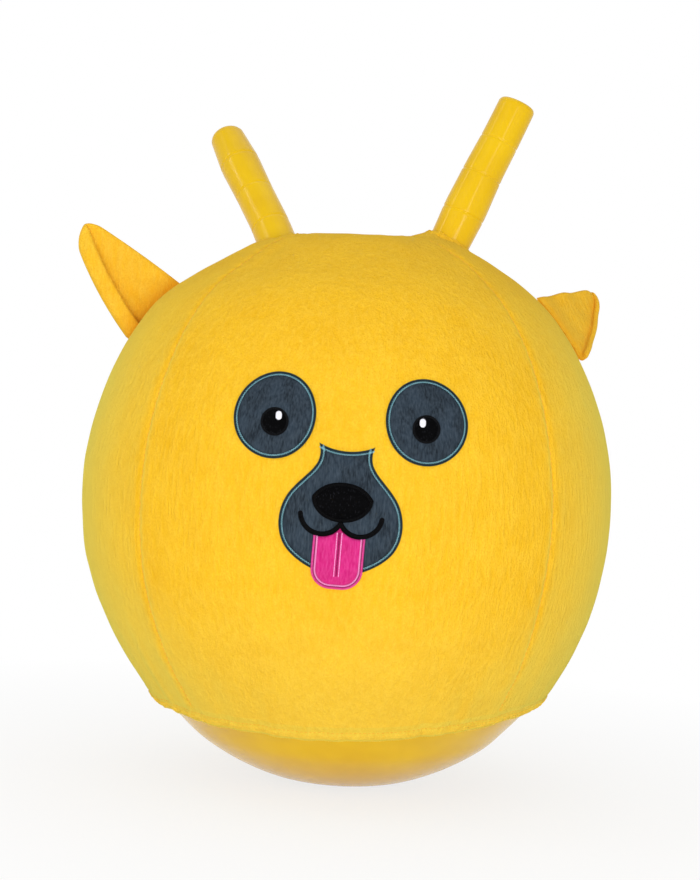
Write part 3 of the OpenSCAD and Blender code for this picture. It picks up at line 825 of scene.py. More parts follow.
@dataclass
class Horn:
    """A ringed horn's line and thickness."""

    side: Side
    form: BallForm
    stations: tuple[Station, ...]
    rings: tuple[float, ...]
    sunk: float = 0.0
    x: float = 78.5
    lean: float = 26.0
    bend: float = 32.0
    ring_depth: float = 0.5
    ring_half: float = 0.8
    tip_corner: float = 4.2
    tip_crown: float = 1.2
    tip_rows: int = 4
    corner_rows: int = 7
    soften_at: tuple[float, ...] = (-5.0, -2.5, 0.0, 2.5, 5.0)
    root: float = -20.0
    base: Vector = field(init=False)
    line: Vector = field(init=False)
    across: Vector = field(init=False)
    behind: Vector = field(init=False)

    def __post_init__(self) -> None:
        """Work out the horn's foot and directions."""
        rim = self.form.arcs[1]
        height = rim.h + math.sqrt(rim.radius ** 2 - (self.x - rim.r) ** 2)
        foot = Vector((self.side.value * self.x, 0.0, self.form.mid_z + height))
        self.base = foot + Vector((self.stations[0].aside, 0.0, -self.sunk))
        turn = Matrix.Rotation(math.radians(self.side.value * self.lean), 3, "Y")
        turn = turn @ Matrix.Rotation(math.radians(-self.bend), 3, "X")
        self.line = turn @ Vector((0, 0, 1))
        self.across = turn @ Vector((1, 0, 0))
        self.behind = turn @ Vector((0, 1, 0))

    def polar(self, point: Vector) -> tuple[float, float, float]:
        """Distance of a point from the horn's line, its angle round it and place along it."""
        away = point - self.base
        x, y = away.dot(self.across), away.dot(self.behind)
        return math.hypot(x, y), math.atan2(y, x), away.dot(self.line)

    def around(self, angle: float, distance: float, along: float) -> Vector:
        """Point at an angle round the horn's line."""
        out = self.across * math.cos(angle) + self.behind * math.sin(angle)
        return self.base + out * distance + self.line * along

    def inward(self, angle: float) -> float:
        """How much an angle round the horn faces the other horn, from 0 to 1."""
        return 0.5 - 0.5 * self.side.value * math.cos(angle)

    def station(self, along: float) -> Station:
        """The place along the horn, between its stations."""
        rows = self.stations
        for before, after in zip(rows, rows[1:]):
            if along <= after.at or after is rows[-1]:
                part = (along - before.at) / (after.at - before.at)
                return Station(along, before.radius + (after.radius - before.radius) * part,
                               before.aside + (after.aside - before.aside) * part)
        return rows[0]

    def softened(self, along: float) -> Station:
        """The place along the horn, with its corners rounded over."""
        near = [self.station(along + step) for step in self.soften_at]
        return Station(along, sum(s.radius for s in near) / len(near), sum(s.aside for s in near) / len(near))

    def radius_at(self, along: float) -> float:
        """Radius of the horn."""
        return self.softened(along).radius

    def side_rows(self, top: float, step: float) -> list[float]:
        """Places of the horn's rows from its tip's corner to its root.

        Args:
            top: Place of the corner.
            step: Distance between rows away from the rings.

        Returns:
            The places, from the tip down.
        """
        count = round((top - self.root) / step)
        rows = {top - (top - self.root) * k / count for k in range(count + 1)}
        half = self.ring_half
        for ring in self.rings:
            rows = {at for at in rows if abs(at - ring) > 2.6 * half}
            rows |= {ring + half * k / 2 for k in range(-5, 6)}
        return sorted(rows, reverse=True)

    def skin(self, name: str, off: float, step: float, turns: int) -> bpy.types.Mesh:
        """Make the horn's outer or inner skin, from its tip down into the ball.

        Args:
            name: Name of the mesh.
            off: Distance outside the outer skin.
            step: Distance between rows.
            turns: Points round the horn.

        Returns:
            The skin as a closed mesh.
        """
        tip = self.stations[-1].at + off
        corner, top_r = self.tip_corner + off, self.radius_at(tip) + off
        flat = top_r - corner
        count = self.tip_rows
        rows = [(flat * k / count, tip - self.tip_crown * (k / count) ** 2) for k in range(1, count + 1)]
        low = tip - self.tip_crown - corner
        rows += [(flat + corner * math.sin(a), low + corner * math.cos(a))
                 for a in (math.pi / 2 * k / self.corner_rows for k in range(1, self.corner_rows))]
        for at in self.side_rows(low, step):
            ring = sum(bell(at - ring, self.ring_half) for ring in self.rings) if off == 0.0 else 0.0
            rows.append((self.radius_at(at) + off - self.ring_depth * ring, at))
        loops = []
        for r, at in rows:
            aside = Vector((self.softened(at).aside - self.stations[0].aside, 0.0, 0.0))
            loops.append([self.around(angle, r, at) + aside for angle in bearings(turns)])
        top_aside = Vector((self.stations[-1].aside - self.stations[0].aside, 0.0, 0.0))
        root = self.around(0.0, 0.0, self.root)
        return capped_mesh(name, self.around(0.0, 0.0, tip) + top_aside, loops, root)


@dataclass(frozen=True)
class Crease:
    """A soft crease that runs out from a horn's hole."""

    angle: float
    width: float
    reach: float
    lift: float


@dataclass(frozen=True)
class Fold:
    """A soft fold along a line on the front of the cover, drawn in front view."""

    start: Flat
    end: Flat
    width: float
    lift: float


@dataclass
class ClothSurface:
    """The cover's surface with its seams, folds, creases and gathers."""

    form: BallForm
    horns: dict[Side, Horn]
    inner_off: float = 0.5
    outer_off: float = 5.0
    seam_depth: float = 0.85
    seam_width: float = 2.4
    ear_angle: float = 37.5
    ear_half: float = 36.0
    gather: float = 0.6
    hem_reach: float = 85.0
    held_angle: float = -15.0
    wide_wave: float = 64.0
    fine_wave: float = 21.0
    seam_reach: float = 26.0
    pucker_step: float = 12.5
    horn_reach: float = 90.0
    tent_from: float = 19.0
    crease_from: float = 21.0
    crease_turn: float = 1.2
    crease_count: int = 9
    ear_calm: float = 6.0
    ear_fade: float = 12.0
    tents: dict[Side, tuple[float, float]] = field(default_factory=lambda: {
        Side.LEFT: (-0.6, 2.8), Side.RIGHT: (1.4, 8.2)})
    tent_reach: float = 15.0
    folds: tuple[Fold, ...] = (
        Fold((-34.0, 228.0), (-72.0, 201.0), 6.0, -1.5),
        Fold((-46.0, 227.0), (-82.0, 198.0), 7.0, 1.1),
        Fold((36.0, 231.0), (79.0, 205.0), 6.0, -1.6),
        Fold((50.0, 229.0), (90.0, 203.0), 7.0, 1.1),
        Fold((-8.0, 225.0), (-30.0, 203.0), 9.0, 0.7),
        Fold((16.0, 226.0), (40.0, 207.0), 9.0, 0.7),
        Fold((-150.0, -120.0), (-118.0, -150.0), 9.0, 0.9),
        Fold((150.0, -112.0), (122.0, -146.0), 9.0, 0.9),
    )
    settling: Settling = field(init=False)
    fold_lines: list[tuple[Vector, Vector, Fold]] = field(init=False)
    creases: dict[Side, list[Crease]] = field(init=False)

    def __post_init__(self) -> None:
        """Place the folds on the surface and draw the creases round each horn."""
        self.settling = Settling(self.form.mid_z)
        self.fold_lines = [(self.front(*fold.start), self.front(*fold.end), fold) for fold in self.folds]
        self.creases = {}
        for side in Side:
            draw = random.Random(17 + side.value)
            self.creases[side] = [
                Crease(math.tau * (k + draw.uniform(-0.3, 0.3)) / self.crease_count, draw.uniform(3.0, 5.5),
                       draw.uniform(9.0, 24.0), draw.choice((-1.0, 1.0)) * draw.uniform(0.7, 1.5))
                for k in range(self.crease_count)]

    def front(self, x: float, h: float) -> Vector:
        """Point of the plain outer surface that shows at x and h from the front."""
        low, high = 0.0, self.form.skirt_end
        for _ in range(40):
            run = (low + high) / 2
            r, height, _ = self.form.section(run, -self.form.skirt_angle, self.outer_off)
            if height - self.settling.sunk(x, height) > h:
                low = run
            else:
                high = run
        return Vector((x, -math.sqrt(max(0.0, r * r - x * x)), self.form.mid_z + h))

    def settled(self, point: Vector) -> Vector:
        """Where a point of the ball or cover is once it has settled."""
        return self.settling.moved(point)

    def near_hem(self, run: float) -> float:
        """How much of the hem's gathers and sway reaches a run, from 0 to 1."""
        return smooth((run - self.form.skirt_end + self.hem_reach) / self.hem_reach)

    def sway(self, around: float) -> float:
        """How much lower than its plain line the hem hangs on a bearing."""
        spot = on_circle(around)
        return 2.2 * noise.noise(spot * 3.1) + 1.0 * noise.noise(spot * 9.0 + Vector((4, 1, 7)))

    def gathers(self, around: float) -> float:
        """How far the gathered hem stands out on a bearing."""
        spot = on_circle(around, 0.3)
        drift = 2.4 * noise.noise(spot * 2.3)
        strong = 0.55 + 0.45 * noise.noise(spot * 4.0 + Vector((2, 9, 3)))
        folds = math.sin(around * 34 + 3 * drift) + 0.5 * math.sin(around * 61 + 5 * drift)
        return self.gather * strong * folds

    def run_of(self, around: float, run: float) -> float:
        """Run on a bearing, where the lower cover is tilted and sways."""
        held = self.form.run_at(self.held_angle)
        if run <= held:
            return run
        own_end = self.form.hem_start(around)
        moved = held + (run - held) * (own_end - held) / (self.form.skirt_end - held)
        return moved + self.sway(around) * self.near_hem(run)

    def seam_distance(self, around: float, r: float) -> float:
        """Distance from the nearest seam between panels."""
        quarter = math.pi / 2
        from_seam = abs((around - math.pi / 4 + quarter / 2) % quarter - quarter / 2)
        return r * from_seam

    def ear_distance(self, point: Vector) -> float:
        """Distance of a point of the cover from the nearer ear's root line."""
        angle = math.radians(self.ear_angle)
        shoulder = self.form.arcs[2]
        far = shoulder.radius + self.outer_off
        x, z = far * math.cos(angle), self.form.mid_z + shoulder.h + far * math.sin(angle)
        along = (abs(point.x) - x) * math.sin(angle) - (point.z - z) * math.cos(angle)
        beyond = max(0.0, abs(along) - self.ear_half)
        return math.hypot(point.y, beyond)

    def relief(self, around: float, run: float, point: Vector, r: float) -> float:
        """How far the outer face stands off its plain surface.

        Args:
            around: Bearing in radians.
            run: Run down the outline.
            point: The plain outer point.
            r: Its distance from the axis.

        Returns:
            The offset in millimetres.
        """
        lift = 0.75 * noise.noise(point / self.wide_wave)
        lift += 0.35 * noise.noise(point / self.fine_wave + Vector((9, 2, 5)))
        seam = self.seam_distance(around, r)
        if seam < self.seam_reach:
            # The seam's thread pulls the cloth in, and the cloth puckers beside it
            calm = smooth(r / 40.0)
            pucker = math.sin(math.tau * run / self.pucker_step + 4.0 * noise.noise(point / 30.0))
            dip = self.seam_depth * bell(seam, self.seam_width)
            lift += calm * (0.34 * bell(seam - 4.0, 5.0) * pucker - dip + 0.3 * bell(seam - 8.0, 7.0))
        for start, end, fold in self.fold_lines:
            way = end - start
            at = (point - start).dot(way) / way.length_squared
            if -0.3 < at < 1.3:
                distance = (point - start - way * at).length
                if distance < 3 * fold.width:
                    fade = smooth((at + 0.3) / 0.6) * smooth((1.3 - at) / 0.6)
                    lift += fold.lift * fade * bell(distance, fold.width)
        for side, horn in self.horns.items():
            if point.x * side.value > 0 and point.z > horn.base.z - self.horn_reach:
                distance, angle, _ = horn.polar(point)
                if distance < self.horn_reach:
                    even, inward = self.tents[side]
                    tent = even + inward * horn.inward(angle) ** 2
                    lift += tent * math.exp(-max(0.0, distance - self.tent_from) / self.tent_reach)
                    for crease in self.creases[side]:
                        turn = (angle - crease.angle + math.pi) % math.tau - math.pi
                        if abs(turn) < self.crease_turn:
                            fade = math.exp(-max(0.0, distance - self.crease_from) / crease.reach)
                            lift += crease.lift * fade * bell(turn * distance, crease.width)
        lift *= smooth((self.ear_distance(point) - self.ear_calm) / self.ear_fade)
        near = self.near_hem(run)
        return lift * (1.0 - 0.6 * near) + near * self.gathers(around)

    def place(self, around: float, run: float, off: float, plain: bool = False) -> Vector:
        """Point on the cover.

        Args:
            around: Bearing in radians, from +X towards +Y.
            run: Run down the outline from the crown's middle.
            off: Distance outside the ball's surface.
            plain: Leaves out the relief, as on the inner face.

        Returns:
            The point in millimetres.
        """
        own = self.run_of(around, run)
        leave = self.form.leave_angle(around)
        r, h, angle = self.form.section(own, leave, off)
        point = self.settled(Vector((r * math.cos(around), r * math.sin(around), h + self.form.mid_z)))
        if plain:
            lift = self.near_hem(run) * max(0.0, self.gathers(around))
        else:
            lift = self.relief(around, run, point, r)
        return point + outward(around, angle) * lift

    def bearing_and_run(self, point: Vector) -> tuple[float, float]:
        """Bearing and run of the surface under a point of the settled dome."""
        before = self.settling.unmoved(point)
        run, _ = self.form.foot(math.hypot(before.x, before.y), before.z - self.form.mid_z)
        return math.atan2(before.y, before.x), run

    def on_face(self, x: float, h: float, off: float) -> tuple[Vector, Vector]:
        """Point of the face and the way out of it.

        Args:
            x: Place across, to the viewer's right.
            h: Height from the ball's middle.
            off: Distance outside the ball's surface.

        Returns:
            The point in millimetres and the unit normal.
        """
        belly = self.form.belly
        far = belly.radius + off
        angle = math.asin(h / far)
        r = belly.r + far * math.cos(angle)
        around = -math.acos(x / r)
        run = self.form.run_at(math.degrees(angle))
        return self.place(around, run, off), outward(around, angle)

    def out_at(self, around: float, run: float) -> Vector:
        """Way out of the plain surface on a bearing."""
        own = self.run_of(around, run)
        return outward(around, self.form.section(own, self.form.leave_angle(around), 0.0)[2])


class ThreadRun:
    """Geometry Nodes tree that lays one thread after another along a line."""

    def __init__(self) -> None:
        """Build the tree and keep the names of its inputs."""
        self.tree = bpy.data.node_groups.new("thread_run", "GeometryNodeTree")
        face = self.tree.interface
        face.new_socket("Geometry", in_out="INPUT", socket_type="NodeSocketGeometry")
        for label in ("Pitch", "Length", "Width", "Height", "Angle", "Slant", "Wander"):
            face.new_socket(label, in_out="INPUT", socket_type="NodeSocketFloat")
        face.new_socket("Seed", in_out="INPUT", socket_type="NodeSocketInt")
        face.new_socket("Thread", in_out="INPUT", socket_type="NodeSocketMaterial")
        face.new_socket("Geometry", in_out="OUTPUT", socket_type="NodeSocketGeometry")
        self.names = {item.name: item.identifier for item in face.items_tree if item.in_out == "INPUT"}
        self.wire()

    def wire(self) -> None:
        """Add the tree's nodes."""
        tree = self.tree
        given = add_node(tree, "NodeGroupInput").outputs
        line = add_node(tree, "GeometryNodeMeshToCurve", inputs={"Mesh": given["Geometry"]})
        spaced = add_node(tree, "GeometryNodeResampleCurve", {"mode": "LENGTH"}, {
            "Curve": line.outputs[0], "Length": given["Pitch"]})
        away = add_node(tree, "GeometryNodeInputNamedAttribute", {"data_type": "FLOAT_VECTOR"}, {
            "Name": "away"})
        tangent = add_node(tree, "GeometryNodeInputTangent")
        stood = add_node(tree, "FunctionNodeAlignRotationToVector", {"axis": "Z"}, {
            "Vector": away.outputs["Attribute"]})
        led = add_node(tree, "FunctionNodeAlignRotationToVector", {"axis": "X", "pivot_axis": "Z"}, {
            "Rotation": stood.outputs[0], "Vector": tangent.outputs[0]})
        index = add_node(tree, "GeometryNodeInputIndex")
        odd = add_node(tree, "ShaderNodeMath", {"operation": "MODULO"}, {0: index.outputs[0], 1: 2.0})
        sign = add_node(tree, "ShaderNodeMath", {"operation": "MULTIPLY_ADD"}, {
            0: odd.outputs[0], 1: 2.0, 2: -1.0})
        leaned = add_node(tree, "ShaderNodeMath", {"operation": "MULTIPLY_ADD"}, {
            0: sign.outputs[0], 1: given["Slant"], 2: given["Angle"]})
        drawn = add_node(tree, "FunctionNodeRandomValue", {"data_type": "FLOAT"}, {
            2: -1.0, 3: 1.0, "Seed": given["Seed"]})
        turn = add_node(tree, "ShaderNodeMath", {"operation": "MULTIPLY_ADD"}, {
            0: drawn.outputs[1], 1: given["Wander"], 2: leaned.outputs[0]})
        spin = add_node(tree, "ShaderNodeCombineXYZ", inputs={"Z": turn.outputs[0]})
        spun = add_node(tree, "FunctionNodeEulerToRotation", inputs={0: spin.outputs[0]})
        laid = add_node(tree, "FunctionNodeRotateRotation", {"rotation_space": "LOCAL"}, {
            0: led.outputs[0], 1: spun.outputs[0]})
        bead = add_node(tree, "GeometryNodeMeshUVSphere", inputs={"Segments": 7, "Rings": 4, "Radius": 0.5})
        size = add_node(tree, "ShaderNodeCombineXYZ", inputs={
            "X": given["Length"], "Y": given["Width"], "Z": given["Height"]})
        threads = add_node(tree, "GeometryNodeInstanceOnPoints", inputs={
            "Points": spaced.outputs[0], "Instance": bead.outputs[0],
            "Rotation": laid.outputs[0], "Scale": size.outputs[0]})
        real = add_node(tree, "GeometryNodeRealizeInstances", inputs={0: threads.outputs[0]})
        done = add_node(tree, "GeometryNodeSetMaterial", inputs={
            "Geometry": real.outputs[0], "Material": given["Thread"]})
        add_node(tree, "NodeGroupOutput", inputs={0: done.outputs[0]})

    def lay(self, name: str, lines: Sequence[Sequence[tuple[Vector, Vector]]], closed: bool,
            thread: bpy.types.Material, pitch: float, length: float, width: float = 0.8,
            height: float = 0.7, lay: Lay = Lay.ALONG, slant: float = 0.0, seed: int = 1,
            wander: float = 5.0) -> bpy.types.Object:
        """Lay threads along lines and return them as a plain mesh object.

        Args:
            name: Name of the object.
            lines: Lines of points and surface normals, in millimetres.
            closed: Whether each line closes on itself.
            thread: Material of the thread.
            pitch: Distance from one thread to the next.
            length: Length of a thread.
            width: Its width.
            height: Its height off the cloth.
            lay: Whether threads lie along or across the line.
            slant: Angle in degrees that neighbours lean apart, as in a zigzag.
            seed: Seed of the small random turn.
            wander: Most that a thread turns at random, in degrees.

        Returns:
            The threads.
        """
        points, edges, aways = [], [], []
        for line in lines:
            first = len(points)
            points += [p * MM for p, _ in line]
            aways += [n for _, n in line]
            edges += [(first + i, first + i + 1) for i in range(len(line) - 1)]
            if closed:
                edges.append((first + len(line) - 1, first))
        mesh = bpy.data.meshes.new(name + "_line")
        mesh.from_pydata(points, edges, [])
        away = mesh.attributes.new("away", "FLOAT_VECTOR", "POINT")
        away.data.foreach_set("vector", [c for n in aways for c in n])
        guide = put(name + "_line", mesh)
        modifier = guide.modifiers.new("threads", "NODES")
        modifier.node_group = self.tree
        values = {"Pitch": pitch * MM, "Length": length * MM, "Width": width * MM, "Height": height * MM,
                  "Angle": math.radians(lay.value), "Slant": math.radians(slant),
                  "Wander": math.radians(wander), "Seed": seed, "Thread": thread}
        for label, value in values.items():
            modifier[self.names[label]] = value
        guide.update_tag()
        graph = bpy.context.evaluated_depsgraph_get()
        threads = bpy.data.meshes.new_from_object(guide.evaluated_get(graph))
        threads.name = name
        threads.materials.clear()
        threads.materials.append(thread)
        threads.polygons.foreach_set("material_index", [0] * len(threads.polygons))
        guide.modifiers.clear()
        bpy.data.objects.remove(guide)
        return object_of(name, threads, sharp_over=80.0)


@dataclass
class PlushCover:
    """The four sewn panels, their seams and the turned-up edges round the horns."""

    surface: ClothSurface
    shelf: MaterialShelf
    runner: ThreadRun
    seam_gap: float = 0.05
    hole_r: float = 19.0
    hole_core: float = 12.0
    hole_reach: float = 40.0
    edge_height: float = 3.0
    edge_thickness: float = 3.0
    edge_ease: float = 0.4
    edge_steps: int = 120
    seam_points: int = 180
    fine_steps: tuple[float, ...] = (0.0, 0.6, 1.3, 2.1, 3.0, 4.1, 5.5, 7.3, 9.6, 12.4, 15.8)
    middle_step: float = 4.2
    crown_run: float = 150.0
    crown_rows: int = 60
    skirt_step: float = 3.4
    hole_run: float = 170.0
    flat_area: float = 0.144

    def rows(self) -> list[float]:
        """Runs of the panel's rows."""
        below = self.surface.form.skirt_end - self.crown_run
        count = round(below / self.skirt_step)
        return ([self.crown_run * k / self.crown_rows for k in range(1, self.crown_rows + 1)]
                + [self.crown_run + below * k / count for k in range(1, count + 1)])

    def columns(self) -> list[float]:
        """Shares of a panel's width, close together beside its seams."""
        width = self.surface.form.half_width * math.pi / 2
        half = width / 2
        count = round((half - self.fine_steps[-1]) / self.middle_step)
        rest = [self.fine_steps[-1] + (half - self.fine_steps[-1]) * k / count for k in range(1, count + 1)]
        near = [d / width for d in (*self.fine_steps, *rest)]
        return near + [1.0 - d for d in reversed(near[:-1])]

    def open_hole(self, horn: Horn, point: Vector) -> Vector | None:
        """Move a point near a horn's hole outwards round the hole.

        Args:
            horn: The horn that passes through.
            point: A point of the plain surface.

        Returns:
            The moved point, or nothing where the point stays.
        """
        distance, angle, along = horn.polar(point)
        if distance >= self.hole_reach or distance < 1e-6:
            return None
        share_out = max(0.0, distance - self.hole_core) / (self.hole_reach - self.hole_core)
        return horn.around(angle, self.hole_r + share_out * (self.hole_reach - self.hole_r), along)

    def panel(self, place: str, middle: float, horn: Horn | None) -> bpy.types.Object:
        """Make one panel as a closed layer of cloth.

        Args:
            place: Which side of the ball it is on.
            middle: Bearing of the panel's middle in degrees.
            horn: The horn that passes through the panel, if one does.

        Returns:
            The panel.
        """
        surface = self.surface
        rows, columns = self.rows(), self.columns()
        outer, cut = [surface.place(0.0, 0.0, surface.outer_off)], [False]
        inner = [surface.place(0.0, 0.0, surface.inner_off, True)]
        for run in rows:
            r = surface.form.section(run, -surface.form.skirt_angle, 0.0)[0]
            gap = self.seam_gap / max(r, 4.0)
            for column in columns:
                around = math.radians(middle - 45.0) + gap + (math.pi / 2 - 2 * gap) * column
                own_run, in_hole = run, False
                if horn is not None and run < self.hole_run:
                    plain = surface.place(around, run, surface.outer_off, True)
                    in_hole = horn.polar(plain)[0] < self.hole_core
                    moved = self.open_hole(horn, plain)
                    if moved is not None:
                        around, own_run = surface.bearing_and_run(moved)
                outer.append(surface.place(around, own_run, surface.outer_off))
                inner.append(surface.place(around, own_run, surface.inner_off, True))
                cut.append(in_hole)
        across = len(columns)
        faces = [(0, 1 + j, 2 + j) for j in range(across - 1)]
        for i in range(len(rows) - 1):
            for j in range(across - 1):
                here = 1 + i * across + j
                face = (here, here + across, here + across + 1, here + 1)
                if not all(cut[k] for k in face):
                    faces.append(face)
        name = f"{place}_panel"
        piece = object_of(name, shell_mesh(name, faces, outer, inner))
        dress(piece, Body.BALL, [f"cover_{place}"], self.shelf.get("plush"))
        return piece

    def hole_edge(self, horn: Horn) -> bpy.types.Object:
        """Make the cover's edge that is turned up round a horn.

        Args:
            horn: The horn it stands round.

        Returns:
            The edge.
        """
        name = f"{horn.side.word}_hole_edge"
        loops = []
        for angle in bearings(self.edge_steps):
            along = self.along_surface(horn, angle, self.hole_r + 1.5)
            spot = on_circle(angle, horn.side.value)
            rise = self.edge_height * (0.45 + 0.55 * horn.inward(angle))
            rise += 0.6 * noise.noise(spot * 1.7) + 0.3 * noise.noise(spot * 6.0)
            fat = 1.0 + 0.16 * noise.noise(spot * 4.0 + Vector((3, 3, 3)))
            loops.append(self.edge_section(horn, angle, along, rise, fat))
        piece = object_of(name, ring_mesh(name, loops), sharp_over=60.0)
        smoothing = piece.modifiers.new("soft", "SUBSURF")
        smoothing.levels = smoothing.render_levels = 1
        node = f"horn_hole_edge_{horn.side.word}"
        return dress(piece, Body.BALL, [node], self.shelf.get("plush"))

    def along_surface(self, horn: Horn, angle: float, distance: float) -> float:
        """Place along a horn's line at which its surroundings reach the cover."""
        form = self.surface.form
        along = 0.0
        for _ in range(12):
            point = horn.around(angle, distance, along)
            before = self.surface.settling.unmoved(point)
            off = form.foot(math.hypot(before.x, before.y), before.z - form.mid_z)[1]
            around, run = self.surface.bearing_and_run(point)
            r = form.section(run, -form.skirt_angle, 0.0)[0]
            lift = self.surface.relief(around, run, point, r)
            along += (self.surface.outer_off + lift - off) * 0.9
        return along

    def edge_section(self, horn: Horn, angle: float, along: float, rise: float, fat: float) -> list[Vector]:
        """Cross-section of the turned-up edge at one angle.

        Args:
            horn: The horn.
            angle: Angle round the horn's line.
            along: Where the cover's surface is on that line.
            rise: Height of the edge above the cover.
            fat: Share by which the edge is thicker or thinner there.

        Returns:
            The section's points, in order round it.
        """
        inner = horn.radius_at(along + rise) + self.edge_ease
        outer = inner + self.edge_thickness * fat
        round_r = (outer - inner) / 2
        top = along + rise - round_r
        shape = [(inner, along - 2.5), (inner, along + 0.35 * rise), (inner, top)]
        shape += [(inner + round_r * (1 - math.cos(a)), top + round_r * math.sin(a))
                  for a in (math.pi * k / 6 for k in range(1, 6))]
        shape += [(outer + 0.1, top), (outer + 0.6, along + 0.4 * rise), (outer + 1.4, along - 0.1),
                  (outer + 2.4, along - 1.5), (outer + 2.6, along - 3.2)]
        return [horn.around(angle, distance, height) for distance, height in shape]

    def seam_stitches(self) -> bpy.types.Object:
        """Lay the stitches that show in the four seams.

        Returns:
            The stitches.
        """
        surface = self.surface
        lines = []
        for quarter in range(4):
            around = math.radians(45.0 + 90.0 * quarter)
            line = []
            for k in range(10, self.seam_points):
                run = surface.form.skirt_end * k / self.seam_points
                point = surface.place(around, run, surface.outer_off)
                line.append((point, surface.out_at(around, run)))
            lines.append(line)
        piece = self.runner.lay("seam_stitches", lines, closed=False, thread=self.shelf.get("seam"),
                                pitch=4.2, length=3.0, height=0.9, seed=3)
        return dress(piece, Body.BALL)

    def build(self) -> None:
        """Make the panels, their stitches and the edges round the horns."""
        horns = self.surface.horns
        self.panel("front", 270.0, None)
        self.panel("back", 90.0, None)
        self.panel("left", 180.0, horns[Side.LEFT])
        self.panel("right", 0.0, horns[Side.RIGHT])
        for horn in horns.values():
            self.hole_edge(horn)
        self.seam_stitches()


@dataclass
class ElasticHem:
    """The gathered hem, folded over a flat elastic."""

    surface: ClothSurface
    shelf: MaterialShelf
    runner: ThreadRun
    thickness: float = 6.2
    height: float = 16.0
    layer: float = 2.0
    elastic_w: float = 7.4
    elastic_t: float = 1.6
    stitch_at: float = 6.6
    under_from: float = 11.0
    under_share: float = 0.75
    steps: int = 840

    def frame_at(self, around: float) -> tuple[Vector, Vector, Vector]:
        """Where the hem hangs on a bearing.

        Args:
            around: Bearing in radians.

        Returns:
            The skirt's lower end on the ball's own outline, the way out and the way down.
        """
        surface = self.surface
        leave = surface.form.leave_angle(around)
        end = surface.form.hem_start(around) + surface.sway(around)
        r, h, angle = surface.form.section(end, leave, 0.0)
        bearing = on_circle(around)
        up = Vector((0.0, 0.0, 1.0))
        out = bearing * math.cos(angle) + up * math.sin(angle)
        down = bearing * math.sin(angle) - up * math.cos(angle)
        start = surface.settled(bearing * r + up * (h + surface.form.mid_z))
        return start + out * surface.gathers(around), out, down

    def section(self, around: float) -> tuple[list[Flat], list[float]]:
        """Cross-section of the folded cloth, as distances out and down.

        Args:
            around: Bearing in radians, which gives the fold its soft changes.

        Returns:
            The points in order round the section, and how far each is an underside.
        """
        outer = self.surface.outer_off
        inner = outer - self.thickness
        spot = on_circle(around, 1.0)
        puff = 0.55 + 0.35 * noise.noise(spot * 22.0) + 0.25 * noise.noise(spot * 55.0)
        turn_r = self.thickness / 2
        mid, low = (outer + inner) / 2, self.height - turn_r
        # Down the outside, where the stitches draw the cloth in, round the turn and up the inside
        walk = [(outer - 0.1, 0.0), (outer, 2.0), (outer - 0.1, 4.6), (outer - 0.7, 6.6),
                (outer + puff * 0.5, 8.4), (outer + puff, 10.8)]
        walk += [(mid + (turn_r + puff * 0.4 * math.cos(a)) * math.cos(a), low + (turn_r + 0.3) * math.sin(a))
                 for a in (math.pi * k / 8 for k in range(9))]
        walk += [(inner, 9.0), (inner, 5.0), (inner + 0.2, 1.0), (inner + 0.6, 0.0)]
        back = []
        for out, down in reversed(walk):
            if down > low:
                left = 1 - self.layer / math.hypot(out - mid, down - low)
                back.append((mid + (out - mid) * left, low + (down - low) * left))
            else:
                back.append((out + self.layer * (1 if out < mid else -1), max(down, 0.0)))
        under = [self.under_share * smooth((down - self.under_from) / 4.0) for _, down in walk]
        return walk + back, under + [self.under_share] * len(back)

    def fold(self) -> bpy.types.Object:
        """Make the folded hem as one closed ring of cloth.

        Returns:
            The hem.
        """
        loops, marks = [], []
        for around in bearings(self.steps):
            start, out, down = self.frame_at(around)
            shape, under = self.section(around)
            loops.append([start + out * a + down * (b + 0.1) for a, b in shape])
            marks += under
        piece = object_of("folded_hem", ring_mesh("folded_hem", loops, {"underside": marks}), sharp_over=60.0)
        dress(piece, Body.BALL, ["hem_fold"], self.shelf.get("hem_plush"))
        return piece

    def elastic(self) -> bpy.types.Object:
        """Make the flat elastic in the hem's channel.

        Returns:
            The elastic.
        """
        mid = self.surface.outer_off - self.thickness / 2
        half_t, half_w, low = self.elastic_t / 2, self.elastic_w / 2, self.height / 2
        shape = [(mid + half_t, low - half_w), (mid + half_t, low), (mid + half_t, low + half_w),
                 (mid - half_t, low + half_w), (mid - half_t, low), (mid - half_t, low - half_w)]
        loops = []
        for around in bearings(self.steps // 2):
            start, out, down = self.frame_at(around)
            loops.append([start + out * a + down * b for a, b in shape])
        piece = object_of("elastic_band", ring_mesh("elastic_band", loops))
        return dress(piece, Body.BALL, ["hem_elastic"], self.shelf.get("elastic"))

    def stitches(self) -> bpy.types.Object:
        """Lay the stitches that hold the fold to the skirt.

        Returns:
            The stitches.
        """
        line = self.around_hem(self.surface.outer_off - 0.75, self.stitch_at)
        piece = self.runner.lay("hem_stitches", [line], closed=True, thread=self.shelf.get("tone"),
                                pitch=3.6, length=2.6, height=0.9, seed=5)
        return dress(piece, Body.BALL)

    def around_hem(self, off: float, low: float) -> list[tuple[Vector, Vector]]:
        """A closed line round the hem.

        Args:
            off: Distance outside the ball's own outline.
            low: Distance below the skirt's lower end.

        Returns:
            The line's points and the way out at each.
        """
        line = []
        for around in bearings(self.steps):
            start, out, down = self.frame_at(around)
            line.append((start + out * off + down * low, out))
        return line

    def pilling(self) -> bpy.types.Object:
        """Lay the pilled fibres that stand out of the worn lower edge.

        Returns:
            The fibres.
        """
        outer = self.surface.outer_off
